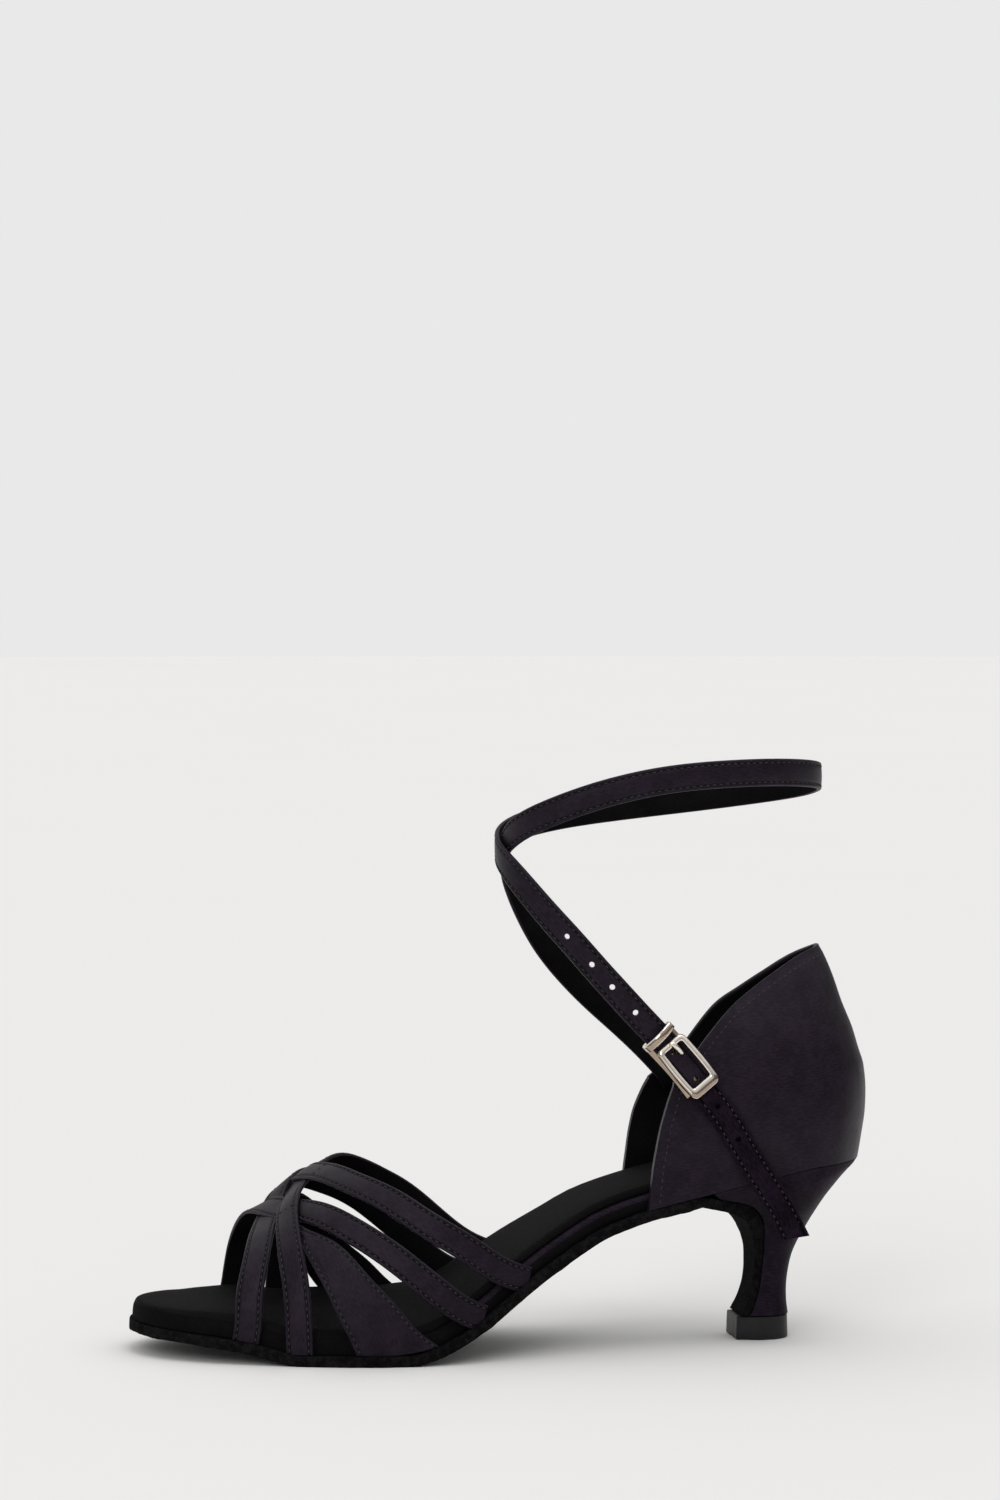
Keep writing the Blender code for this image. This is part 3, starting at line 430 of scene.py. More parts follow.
# Ankle strap over the counter: distance from the seat's back, height, room under it
TAIL_ROWS = (
    (0.2845, 0.559, 1.00),
    (0.2635, 0.475, 1.00),
    (0.2455, 0.396, 1.00),
    (0.229, 0.320, 0.55),
    (0.207, 0.223, 0.12),
    (0.184, 0.083, 0.10),
    (0.158, -0.054, 0.20),
    (0.132, -0.196, 0.40),
    (0.114, -0.323, 0.50),
)

# Buckle: its row of that table, its tilt in degrees, the gaps under it, and the bare strap kept
# before and behind it
BUCKLE_ROW = 1
BUCKLE_TILT = 14.0
BUCKLE_ROOM = 2.2
SEAM_CLEARANCE = 0.001

# Bars of the buckle's frame, the shares that its sides bulge, its front droops and its inner
# corners keep, and the bars' section: share of the way in, share of the depth
FRONT_BAR = 0.0022
BACK_BAR = 0.0034
SIDE_BAR = 0.0021
SIDE_BULGE = (0.93, 0.10)
FRAME_DROOP = 0.28
INNER_CORNER = 0.35
FRAME_PROFILE = (
    (0.00, 0.10),
    (0.10, 0.00),
    (0.90, 0.00),
    (1.00, 0.12),
    (1.00, 0.55),
    (0.97, 0.74),
    (0.88, 0.90),
    (0.74, 0.98),
    (0.56, 1.00),
    (0.38, 0.97),
    (0.22, 0.88),
    (0.09, 0.70),
    (0.01, 0.45),
)

# Faces of that section that take the darker, warmer plating, a painted shade for the dark
# surroundings that they would reflect: those that slope outwards, and on the rear bar those from
# this one on
OUTER_FACES = (0, 10, 11, 12)
REAR_SLOPE = 8

# Punched holes of the ankle strap, as distances down it from the buckle's middle
STRAP_HOLES = (-0.0553, -0.0437, -0.0343, -0.0236, -0.0062, 0.0045, 0.0155, 0.0279)
HOLE_DIAMETER = 0.0018
HOLE_SIDES = 20
COVER_THICKNESS = 0.0015

# Sideways lean of the prong, and the slanted cut and curl of the strap's end
PRONG_LEAN = 0.20
TAIL_SLANT = (0.0006, 0.0013)
TAIL_CURL = 0.0011
TAIL_REACH = 0.009

# Stitches: share of the pitch that one covers, sides and flatness of the thread, then its form
# as the place along it, thickness and height
STITCH_SHARE = 0.55
THREAD_SIDES = 6
THREAD_FLATNESS = 0.8
STITCH_ROWS = (
    (-0.50, 0.25, -1.00),
    (-0.38, 0.80, -0.10),
    (0.00, 1.00, 0.35),
    (0.38, 0.80, -0.10),
    (0.50, 0.25, -1.00),
)

# Section of a turned strap: fold's size, angles round it, the channel that a seam presses as
# distance from the seam, height and depth, and the crown as share of the seam's place and height
FOLD_SHARE = 0.46
FOLD_TURNS = (-60.0, -25.0, 10.0, 40.0, 68.0)
CHANNEL_ROWS = (
    (0.00034, 0.985, 0.0),
    (0.0, 1.0, 0.00022),
    (-0.00038, 0.985, 0.0),
)
CROWN_ROWS = (
    (0.62, 1.045),
    (0.28, 1.070),
)
CROWN_TOP = 1.08

# Seams of the counter: ends and steps of the one along its top and of the one up its front, drop
# below its top line, place behind its front edge, and the narrowest panel that takes a seam
TOP_SEAM = (0.0, 0.955, 60)
FRONT_SEAM = (0.02, 0.93, 40)
TOP_SEAM_DROP = 0.0023
FRONT_SEAM_SHARE = 1.0 - 0.0030 / 0.0660
LEAST_SEAM_WIDTH = 0.006

# Turned lip on the counter: its angles, and its height as a share of the wall
LIP_TURNS = (25.0, 55.0, 90.0, 125.0, 155.0)
LIP_RISE = 0.28

# Heel tip's section: height and growth, as shares of the chamfer, the cap's height and spread
CAP_ROWS = (
    (0.00, 0.0, -1.00, 0.0),
    (0.12, 0.0, -0.55, 0.0),
    (0.50, 0.0, -0.15, 0.0),
    (1.00, 0.0, 0.00, 0.0),
    (0.00, 0.5, 0.00, -0.4),
    (-0.40, 1.0, 0.00, -1.0),
    (0.00, 1.0, -0.40, -1.0),
)

# Prong: distance from the front in bars, rise over the frame, share of its thickness
PRONG_ROWS = (
    (0.10, 0.72, 0.35),
    (0.22, 0.90, 0.78),
    (0.45, 1.00, 1.00),
    (1.10, 1.00, 1.00),
    (1.60, 0.82, 0.98),
    (2.10, 0.50, 0.92),
    (2.60, 0.15, 0.88),
    (2.95, 0.00, 0.80),
    (3.12, -0.08, 0.40),
)
PRONG_SIDES = 14

# Keeper's section: place across its width and which of its three loops; plate's section: place
# across the strap and share of its depth
KEEPER_EDGES = ((-0.36, 0), (-0.5, 1), (-0.36, 2), (0.36, 2), (0.5, 1), (0.36, 0))
PLATE_EDGES = ((-1.0, 0.2), (-1.06, 0.5), (-1.0, 0.8), (1.0, 0.8), (1.06, 0.5), (1.0, 0.2))

# Rough cut edge of the suede and its slow waves: noise waves in a metre, height
FUZZ_WAVES = ((900.0, 1.0), (2300.0, 0.7))
ROLL_WAVES = ((85.0, 0.0006), (240.0, 0.0003))
MOST_FUZZ = 0.3

# Distance given to cloth that has no edge near it, and the bend in degrees that shows as sharp
FAR = 0.05
SHARP_ANGLE = 48.0

# Soft front edge that sock and insole share: stations over which it fades, the height at which
# it starts to curve and how far the curve reaches in
CUSHION_FADE = (0.30, 0.44)
CUSHION_START = 0.0022
CUSHION_REACH = 0.0040
BOARD_ROUNDING = 0.0013
SOCK_CROWN = 0.0005

# Station behind which the insole's satin ridge shows beside the sock
RIDGE_START = 0.44

# Floor's radius, camera's sensor in millimetres, and lamps: name, spread in degrees, direction
# that it shines from
FLOOR_RADIUS = 9.0
SENSOR_WIDTH = 36.0
LAMPS = (
    ("key", 34.0, (0.10, -0.30, 1.0)),
    ("front", 24.0, (-0.40, -0.85, 0.50)),
    ("rim", 40.0, (0.8, 0.45, 0.8)),
)

# Small steps for slopes and directions: in stations, in stations or in the outline's angle, in
# metres, and in turns round the foot
SLOPE_STEP = 0.006
OUTLINE_STEP = 0.004
NORMAL_STEP = 0.0015
TURN_STEP = 0.012

# Steps along each form
EDGE_STEPS = 4
SOLE_STEPS = 150
BREAST_STEPS = 44
RIM_STEPS = 96
ACROSS_STEPS = 12
VAMP_STEPS = 160
PANEL_STEPS = 80
COUNTER_STEPS = 46
COUNTER_LEVELS = 34
HEEL_STEPS = 30
STRAP_STEPS = 440

TURN_STATION = 0.763
HEEL_FRONT_STATION = 0.782
SEAT_Z = HEEL_HEIGHT + OUTSOLE_THICKNESS
TOE_X = SEAT_OVERHANG - SOLE_LENGTH


def column(rows, index):
    """Read one column of a table as a smooth function of its first column."""
    xs = [row[0] for row in rows]
    ys = [row[index] for row in rows]
    spans = [xs[i + 1] - xs[i] for i in range(len(xs) - 1)]
    rates = [(ys[i + 1] - ys[i]) / spans[i] for i in range(len(spans))]
    slopes = [rates[0]]
    for before, after in zip(rates, rates[1:]):
        slopes.append(0.0 if before * after <= 0.0 else 2.0 * before * after / (before + after))
    slopes.append(rates[-1])

    def value(x):
        i = 0
        while i < len(spans) - 1 and x > xs[i + 1]:
            i += 1
        t = min(max((x - xs[i]) / spans[i], 0.0), 1.0)
        t2, t3 = t * t, t * t * t
        return (
            (2 * t3 - 3 * t2 + 1) * ys[i]
            + (t3 - 2 * t2 + t) * spans[i] * slopes[i]
            + (3 * t2 - 2 * t3) * ys[i + 1]
            + (t3 - t2) * spans[i] * slopes[i + 1]
        )

    return value


def mix(start, end, share):
    """Value or point at a share of the way from start to end."""
    return start + (end - start) * share


def steps(low, high, count):
    """Even values from low to high."""
    return [mix(low, high, i / count) for i in range(count + 1)]


def round_share(angle):
    """Share of the way at an angle, with its steps crowded towards both ends."""
    return (1.0 - math.cos(angle)) / 2.0


def corner_steps(count):
    """Steps round a corner: share of the way in and share of the way up."""
    turns = [math.radians(90.0 * k / count) for k in range(count + 1)]
    return [(1.0 - math.cos(turn), math.sin(turn)) for turn in turns]


def station_angle(station):
    """Turn a station into an angle, so that round ends stay round."""
    return math.acos(min(max(1.0 - 2.0 * station, -1.0), 1.0))


PLAN_ROWS = [(station_angle(s), m * BALL_WIDTH, l * BALL_WIDTH) for s, m, l in FOREPART_ROWS]
PLAN_ROWS += [(station_angle(s), m * SEAT_WIDTH, l * SEAT_WIDTH) for s, m, l in BACKPART_ROWS]
PLAN = {1: column(PLAN_ROWS, 1), -1: column(PLAN_ROWS, 2)}
TOE_RISE = column(BASE_ROWS, 1)
HEEL_RISE = column(BASE_ROWS, 2)
CURL = column(CURL_ROWS, 1)
RIM = column(RIM_ROWS, 1)
PADDING = column(PADDING_ROWS, 1)
INSTEP = column(INSTEP_ROWS, 1)
FOOT_OUT = column(FOOT_ROWS, 1)
FOOT_UP = {-1: column(FOOT_ROWS, 2), 1: column(FOOT_ROWS, 3)}
FOOT_DOWN = column(FOOT_ROWS, 4)
LEAN = column(COUNTER_ROWS, 1)
COUNTER_WIDTH = column(COUNTER_ROWS, 2)
COUNTER_ROUND = column(COUNTER_ROWS, 3)
COUNTER_FRONT = {-1: column(COUNTER_FRONT_ROWS, 1), 1: column(COUNTER_FRONT_ROWS, 2)}
COUNTER_TOP = {-1: column(COUNTER_TOP_ROWS, 1), 1: column(COUNTER_TOP_ROWS, 2)}
BREAST_REACH = column(BREAST_ROWS, 1)
BREAST_WIDTH = column(BREAST_ROWS, 2)
BREAST_DEPTH = column(BREAST_ROWS, 3)


def station_x(station):
    """Place of a station along the shoe."""
    return TOE_X + station * SOLE_LENGTH


def station_at(x):
    """Station of a place along the shoe."""
    return (x - TOE_X) / SOLE_LENGTH


def base_z(x):
    """Height of the sole's underside above the floor."""
    station = station_at(x)
    return TOE_RISE(station) * TOE_SPRING + HEEL_RISE(station) * HEEL_HEIGHT


def base_slope(x):
    """Slope of the sole's underside."""
    step = SLOPE_STEP * SOLE_LENGTH
    return (base_z(x + step) - base_z(x - step)) / (2.0 * step)


def half_width(x, side):
    """Distance of the outline from the middle on one side: 1 big toe, -1 little toe."""
    return PLAN[side](station_angle(station_at(x)))


def curl(x, y):
    """Upturn of the sole's big-toe edge."""
    wide = half_width(x, 1)
    start = CURL_START * wide
    if y <= start or wide <= start:
        return 0.0
    return BIG_TOE_CURL * CURL(station_at(x)) * min((y - start) / (wide - start), 1.0) ** CURL_POWER


def layer(x, y, height):
    """Point above the sole's underside, measured square to it."""
    slope = base_slope(x)
    length = math.hypot(1.0, slope)
    z = base_z(x) + curl(x, y) + height / length
    return Vector((x - height * slope / length, y, z))


def level_z(x, height):
    """Height above the floor of a layer over the underside, straight above a place."""
    return base_z(x) + height * math.hypot(1.0, base_slope(x))


def outline_point(angle, side, inset):
    """Point of the outline moved inwards by the inset."""
    step = OUTLINE_STEP

    def raw(a):
        return Vector((station_x(round_share(a)), side * PLAN[side](a)))

    low, high = max(angle - step, 0.0), min(angle + step, math.pi)
    along = (raw(high) - raw(low)).normalized()
    inward = Vector((along.y, -along.x)) * side
    if angle <= step or angle >= math.pi - step:
        inward = Vector((1.0 if angle <= step else -1.0, 0.0))
    return raw(angle) + inward * inset * RIM(round_share(angle))


def rim_width(x, side, inset):
    """Distance from the middle to the outline moved inwards, measured across the shoe."""
    step = OUTLINE_STEP * SOLE_LENGTH
    slope = (half_width(x + step, side) - half_width(x - step, side)) / (2.0 * step)
    return half_width(x, side) - inset * math.hypot(1.0, slope)


def foot_point(x, turn):
    """Point on the foot's surface: turn -1 little-toe edge, 0 instep ridge, 1 big-toe edge."""
    side = 1 if turn > 0 else -1
    way = abs(turn)
    inset = SOLE_RIM - GAP
    little, big = rim_width(x, -1, inset), rim_width(x, 1, inset)
    ridge = (big - little) / 2.0 + RIDGE_SHIFT * (big + little) / 2.0
    reach = side * (little if side < 0 else big) - ridge
    top = OUTSOLE_THICKNESS + GAP + INSOLE_THICKNESS
    y = ridge + reach * FOOT_OUT(way)
    height = mix(top, OUTSOLE_THICKNESS + 1.5 * GAP, FOOT_DOWN(way))
    rise = INSTEP(station_at(x)) * INSTEP_HEIGHT * FOOT_UP[side](way)
    point = layer(x, 0.0, height)
    upturn = curl(x, ridge + reach + VAMP_STRAP_THICKNESS) * way * way
    return Vector((point.x, y, point.z + upturn + rise))


def foot_normal(x, turn):
    """Direction out of the foot's surface."""
    along = foot_point(x + NORMAL_STEP, turn) - foot_point(x - NORMAL_STEP, turn)
    low, high = max(turn - TURN_STEP, -1.0), min(turn + TURN_STEP, 1.0)
    return along.cross(foot_point(x, high) - foot_point(x, low)).normalized()


def smooth_route(points, count):
    """Points of a curve through all the given ones, with even steps in each span."""
    route = []
    for i in range(len(points) - 1):
        before, start = points[max(i - 1, 0)], points[i]
        end, after = points[i + 1], points[min(i + 2, len(points) - 1)]
        for k in range(count):
            t = k / count
            bend = (end - before) * t + (2.0 * before - 5.0 * start + 4.0 * end - after) * t * t
            twist = (3.0 * start - before - 3.0 * end + after) * t * t * t
            route.append(start + 0.5 * (bend + twist))
    route.append(points[-1])
    return route


def settled(points, passes=45):
    """A line of points eased towards its neighbours, its ends held."""
    line = list(points)
    for _ in range(passes):
        middle = [0.5 * p + 0.25 * (a + b) for a, p, b in zip(line, line[1:], line[2:])]
        line = [line[0]] + middle + [line[-1]]
    return line


def evened(points, passes=110):
    """A line of points smoothed without drawing its long bends inwards."""
    once = settled(points, passes)
    twice = settled(once, passes)
    return [2.0 * a - b for a, b in zip(once, twice)]


def linked(name, mesh_data):
    """Make an object of a bmesh and put it in the scene."""
    mesh = bpy.data.meshes.new(name)
    mesh_data.to_mesh(mesh)
    mesh_data.free()
    item = bpy.data.objects.new(name, mesh)
    bpy.context.scene.collection.objects.link(item)
    return item


def new_piece(name, mesh_data, finishes, sharp=SHARP_ANGLE):
    """Make a piece of a bmesh, shaded smooth, riding on the shoe, with the named finishes."""
    bmesh.ops.recalc_face_normals(mesh_data, faces=mesh_data.faces)
    piece = linked(name, mesh_data)
    piece.data.shade_smooth()
    piece.data.set_sharp_from_angle(angle=math.radians(sharp))
    for finish in finishes:
        piece.data.materials.append(FINISHES[finish])
    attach(piece, "root")
    return piece


def bridge(mesh_data, near, far):
    """Add faces between two closed rows of points."""
    corners = zip(near, near[1:] + near[:1], far[1:] + far[:1], far)
    return [mesh_data.faces.new(corner) for corner in corners]


def oval(centre, side, up, count, start=0.0):
    """Points round an oval with the two half axes."""
    turns = [math.tau * (k + start) / count for k in range(count)]
    return [centre + side * math.cos(turn) + up * math.sin(turn) for turn in turns]


def skin(name, rings, finishes, joined=False, across=None, places=None, tone=None, sharp=SHARP_ANGLE):
    """Skin a body over rings of points and close its ends with strips.

    across gives points between a strip's two edges, places the flat cloth position of each
    point of a ring and its distance from the cloth's edge, and tone the finish of each face.
    """
    mesh_data = bmesh.new()
    rows = [[mesh_data.verts.new(point) for point in ring] for ring in rings]
    cloth = {}
    for i, row in enumerate(rows):
        for j, vert in enumerate(row):
            point = vert.co
            cloth[vert] = places[i][j] if places else (point.x + point.y, point.z, FAR)
    count = len(rows[0])
    pairs = list(zip(rows, rows[1:])) + ([(rows[-1], rows[0])] if joined else [])
    for i, pair in enumerate(pairs):
        for j, face in enumerate(bridge(mesh_data, *pair)):
            face.material_index = tone(i, j) if tone else 0
    for end in () if joined else (0, len(rows) - 1):
        row = rows[end]
        strips = []
        for i in range(count // 2):
            between = [mesh_data.verts.new(p) for p in across(end, i)] if across else []
            for vert in between:
                cloth[vert] = (vert.co.x + vert.co.y, vert.co.z, FAR)
            strips.append([row[i]] + between + [row[-1 - i]])
        for near, far in zip(strips, strips[1:]):
            for a, b, c, d in zip(near, near[1:], far[1:], far):
                mesh_data.faces.new((a, b, c, d))
    flat = mesh_data.loops.layers.uv.new("cloth")
    seam = mesh_data.loops.layers.uv.new("seam")
    for face in mesh_data.faces:
        for corner in face.loops:
            along, over, edge = cloth[corner.vert]
            corner[flat].uv = (along, over)
            corner[seam].uv = (along, edge)
    bmesh.ops.remove_doubles(mesh_data, verts=mesh_data.verts, dist=1e-7)
    return new_piece(name, mesh_data, finishes, sharp)


def folded_section(width, thickness, inset):
    """Section of a turned-edge strap: round edges, a stitched channel by each, a soft crown."""
    half, edge = width / 2.0, thickness * FOLD_SHARE
    right = [(half - 0.72 * edge, 0.0)]
    for angle in FOLD_TURNS:
        turn = math.radians(angle)
        right.append((half - edge + edge * math.cos(turn), thickness / 2 * (1.0 + math.sin(turn))))
    line = half - inset
    right.append((half - 0.95 * edge, thickness))
    right += [(line + away, thickness * level - depth) for away, level, depth in CHANNEL_ROWS]
    right += [(line * share, thickness * level) for share, level in CROWN_ROWS]
    left = [(-v, h) for v, h in reversed(right)]
    return [(0.0, 0.0)] + right + [(0.0, thickness * CROWN_TOP)] + left


class Band:
    """A band of satin laid over the foot, eased so that its edges run smoothly."""

    def __init__(self, turns, front, rear, lift):
        fronts, middles, rears, outs = [], [], [], []
        for turn in turns:
            ends = station_x(front(turn)), station_x(rear(turn))
            x = mix(*ends, 0.5)
            out = foot_normal(x, turn)
            raise_by = out * lift(turn)
            fronts.append(foot_point(ends[0], turn) + raise_by)
            middles.append(foot_point(x, turn) + raise_by)
            rears.append(foot_point(ends[1], turn) + raise_by)
            outs.append(out)
        self.fronts, self.rears = settled(fronts), settled(rears)
        self.middles = settled(middles)
        self.along = [0.0]
        self.runs, self.outs = [], []
        last = len(turns) - 1
        for i, middle in enumerate(self.middles):
            run = (self.middles[min(i + 1, last)] - self.middles[max(i - 1, 0)]).normalized()
            out = run.cross(self.rears[i] - self.fronts[i]).normalized()
            self.runs.append(run)
            self.outs.append(out if out.dot(outs[i]) > 0.0 else -out)
            if i:
                self.along.append(self.along[-1] + (middle - self.middles[i - 1]).length)

    def strap_spot(self, i, across, height):
        """Point across a strap of even width, square to its run, in metres."""
        middle, run, out = self.middles[i], self.runs[i], self.outs[i]
        width = out.cross(run).normalized()
        spread = self.rears[i] - self.fronts[i]
        if width.dot(spread) < 0.0:
            width.negate()
        bow = (mix(self.fronts[i], self.rears[i], 0.5) - middle).dot(out) / (spread.length / 2) ** 2
        return middle + width * across + out * (height + bow * across * across)

    def panel_spot(self, i, share, height):
        """Point of a panel from its front edge -1 to its rear edge 1."""
        front, middle, rear = self.fronts[i], self.middles[i], self.rears[i]
        bow = (front + rear) / 2.0 - middle
        return middle + (rear - front) / 2.0 * share + bow * share * share + self.outs[i] * height


def strap_band(rows, order, turns):
    """Band of one vamp strap."""
    middle, raised = column(rows, 1), column(rows, 2)
    half = VAMP_STRAP_WIDTH / 2 / SOLE_LENGTH

    def lift(turn):
        return raised(turn) * LIFT_SHARE * VAMP_STRAP_THICKNESS + order * LIFT_STEP

    return Band(turns, lambda t: middle(t) - half, lambda t: middle(t) + half, lift)


def breast_point(drop, share, clearance=0.0):
    """Point in the suede down the heel's breast, from face 0 to back 1, and its half width."""
    turn_x = station_x(TURN_STATION)
    turn_z = base_z(turn_x)
    depth = share * OUTSOLE_THICKNESS * BREAST_DEPTH(drop) + clearance
    floor = CAP_HEIGHT + GAP

    def face(d):
        x = mix(turn_x, -TREAD_LENGTH / 2, BREAST_REACH(d))
        return Vector((x, 0.0, mix(turn_z, floor, d)))

    along = (face(min(drop + 0.01, 1.0)) - face(max(drop - 0.01, 0.0))).normalized()
    waist = (half_width(turn_x, 1) + half_width(turn_x, -1)) / 2
    width = mix(TREAD_WIDTH / 2, waist, BREAST_WIDTH(drop))
    point = face(drop) + Vector((-along.z, 0.0, along.x)) * depth
    point.z = max(point.z, floor)
    return point, width


def ring_half(share, front_width, width):
    """Half width of the heel's D-shaped section at a share of its depth."""
    if share < RING_WAIST:
        ease = share / RING_WAIST
        return mix(front_width, width, ease * ease * (3 - 2 * ease))
    bend = ((share - RING_WAIST) / (1.0 - RING_WAIST)) ** RING_POWER
    return width * (1.0 - bend) ** (1 / RING_POWER)


def heel_ring(front, back, front_width, width, count=HEEL_STEPS):
    """D-shaped section from its breast point and its back point."""
    little = []
    for angle in steps(0.0, math.pi, count):
        share = round_share(angle)
        point = mix(front, back, share)
        little.append(Vector((point.x, -ring_half(share, front_width, width), point.z)))
    return little + [Vector((p.x, -p.y, p.z)) for p in reversed(little)]


def counter_rise(z):
    """Height above the seat as a share of the counter's rise."""
    return (z - SEAT_Z) / COUNTER_RISE


def counter_back(z):
    """Back of the counter at one height."""
    return SEAT_OVERHANG + LEAN(counter_rise(z)) * COUNTER_RISE


def counter_front(z, side):
    """Front edge of the counter at one height."""
    return SEAT_OVERHANG - COUNTER_FRONT[side](counter_rise(z)) * SOLE_LENGTH


def counter_half(x, z, side):
    """Distance of the counter's outside from the middle."""
    rise = counter_rise(z)
    behind = SEAT_OVERHANG - max(counter_back(z) - x, 0.0) * COUNTER_ROUND(rise)
    return half_width(behind, side) * COUNTER_WIDTH(rise)


def counter_span(share, side):
    """Height of the counter's lower edge and of its top line at a share of its depth."""
    x = mix(SEAT_OVERHANG, counter_front(SEAT_Z + COUNTER_FOOT * COUNTER_RISE, side), share)
    high = SEAT_Z + COUNTER_TOP[side](share) * COUNTER_RISE
    return level_z(x, OUTSOLE_THICKNESS + GAP), high


def counter_point(share, rise, side):
    """Point on the counter's outside, by shares of its depth and of its local height."""
    z = mix(*counter_span(share, side), rise)
    x = mix(counter_back(z), counter_front(z, side), share)
    return Vector((x, side * counter_half(x, z, side), z))


def counter_normal(share, rise, side):
    """Direction out of the counter's outside."""
    near = counter_point(max(share - 0.01, 0.0), rise, side)
    far = counter_point(min(share + 0.01, 1.0), rise, side)
    if share < 0.01:
        near = counter_point(0.01, rise, -side)
        far = counter_point(0.01, rise, side)
    under = counter_point(share, max(rise - 0.02, 0.0), side)
    over = counter_point(share, min(rise + 0.02, 1.0), side)
    out = (far - near).cross(over - under).normalized()
    middle = counter_point(share, rise, side) - Vector((-0.02, 0.0, 0.0))
    return out if out.dot(Vector((middle.x, middle.y, 0.0))) > 0.0 else -out


def from_seat(share, level):
    """Place and height from the seat's back, by shares of the sole and of the counter's rise."""
    return SEAT_OVERHANG - share * SOLE_LENGTH, SEAT_Z + level * COUNTER_RISE


def strap_route():
    """Middle line of the ankle strap and the direction out of it, end to tail."""
    centre = SEAT_OVERHANG - ANKLE_SETBACK
    half = STRAP_THICKNESS / 2
    line, normals = [], []
    for row in START_ROWS:
        x, z = from_seat(*row)
        y = counter_half(x, z, 1) - COUNTER_WALL - 2.0 * GAP - half
        line.append(Vector((x, y, z)))
        normals.append(Vector((0.0, 1.0, 0.0)))
    for turn, rise, out in ANKLE_ROWS:
        angle = math.radians(turn)
        normal = Vector((-math.cos(angle) / ANKLE_LENGTH, -math.sin(angle) / ANKLE_WIDTH, 0.0))
        normal.normalize()
        x = centre - ANKLE_LENGTH / 2 * math.cos(angle)
        y = -ANKLE_WIDTH / 2 * math.sin(angle)
        z = SEAT_Z + rise * ANKLE_RISE
        line.append(Vector((x, y, z)) + normal * out * (STRAP_THICKNESS + 1.5 * GAP))
        normals.append(normal)
    room = PLATE_THICKNESS + 2.0 * GAP
    for share, level, under in TAIL_ROWS:
        x, z = from_seat(share, level)
        y = -counter_half(x, z, -1) - 2.0 * GAP - under * room - half
        line.append(Vector((x, y, z)))
        tilt = math.radians(BUCKLE_TILT * under)
        normals.append(Vector((0.0, -math.cos(tilt), math.sin(tilt))))
    return line, normals


class AnkleRoute:
    """The ankle strap's middle line, read by the distance down it from the buckle."""

    STEPS = 12

    def __init__(self):
        line, normals = strap_route()
        self.points = evened(smooth_route(line, self.STEPS))
        facing = evened(smooth_route(normals, self.STEPS))
        self.frames = []
        for i, point in enumerate(self.points):
            ahead = self.points[min(i + 1, len(self.points) - 1)]
            run = (ahead - self.points[max(i - 1, 0)]).normalized()
            out = (facing[i] - run * facing[i].dot(run)).normalized()
            self.frames.append((run, run.cross(out), out))
        self.distance = [0.0]
        for near, far in zip(self.points, self.points[1:]):
            self.distance.append(self.distance[-1] + (far - near).length)
        buckle = (len(line) - len(TAIL_ROWS) + BUCKLE_ROW) * self.STEPS
        self.start = -self.distance[buckle]
        self.end = self.distance[-1] + self.start

    def place(self, distance):
        """Middle of the strap, its run, its width's direction and the way out."""
        at = distance - self.start
        i = 0
        while i < len(self.points) - 2 and self.distance[i + 1] < at:
            i += 1
        share = (at - self.distance[i]) / (self.distance[i + 1] - self.distance[i])
        axes = [mix(a, b, share).normalized() for a, b in zip(self.frames[i], self.frames[i + 1])]
        return (mix(self.points[i], self.points[i + 1], share), *axes)

    def spot(self, distance, across, level):
        """Point at a distance down the strap, across it and above its middle."""
        middle, run, width, out = self.place(distance)
        return middle + width * across + out * level


class Wire:
    """A shader value whose arithmetic adds Math nodes."""

    def __init__(self, nodes, socket):
        self.nodes = nodes
        self.socket = socket

    def output(self, key):
        """Another output of the same node."""
        return Wire(self.nodes, self.socket.node.outputs[key])

    def math(self, operation, *values):
        """One Math node with this value first."""
        inputs = dict(enumerate((self, *values)))
        return self.nodes.node("ShaderNodeMath", {"operation": operation}, inputs)

    def __add__(self, other):
        return self.math("ADD", other)

    def __mul__(self, other):
        return self.math("MULTIPLY", other)

    def __sub__(self, other):
        return self.math("SUBTRACT", other)

    def __rsub__(self, other):
        return self.nodes.node("ShaderNodeMath", {"operation": "SUBTRACT"}, {0: other, 1: self})

    def __abs__(self):
        return self.math("ABSOLUTE")

    __radd__ = __add__
    __rmul__ = __mul__

    def wave(self):
        """Sine of the value."""
        return self.math("SINE")

    def between(self, low, high):
        """0 at or below low, 1 at or above high, eased between them."""
        return self.nodes.eased(self, low, high, 0.0, 1.0)


class Nodes:
    """Nodes of a material or of the world."""

    def __init__(self, tree):
        self.tree = tree

    def node(self, kind, settings=None, inputs=None, output=0):
        """Add a node: its settings first, then the values or links of its sockets."""
        node = self.tree.nodes.new(kind)
        for key, value in (settings or {}).items():
            setattr(node, key, value)
        for key, value in (inputs or {}).items():
            self.feed(node.inputs[key], value)
        return Wire(self, node.outputs[output])

    def feed(self, socket, value):
        """Link a wire into a socket, or set its value."""
        if isinstance(value, Wire):
            self.tree.links.new(value.socket, socket)
        else:
            socket.default_value = value

    def eased(self, value, low, high, start, end):
        """Start at or below low, end at or above high, eased between them."""
        inputs = {"Value": value, "From Min": low, "From Max": high, "To Min": start, "To Max": end}
        return self.node("ShaderNodeMapRange", {"interpolation_type": "SMOOTHSTEP"}, inputs)


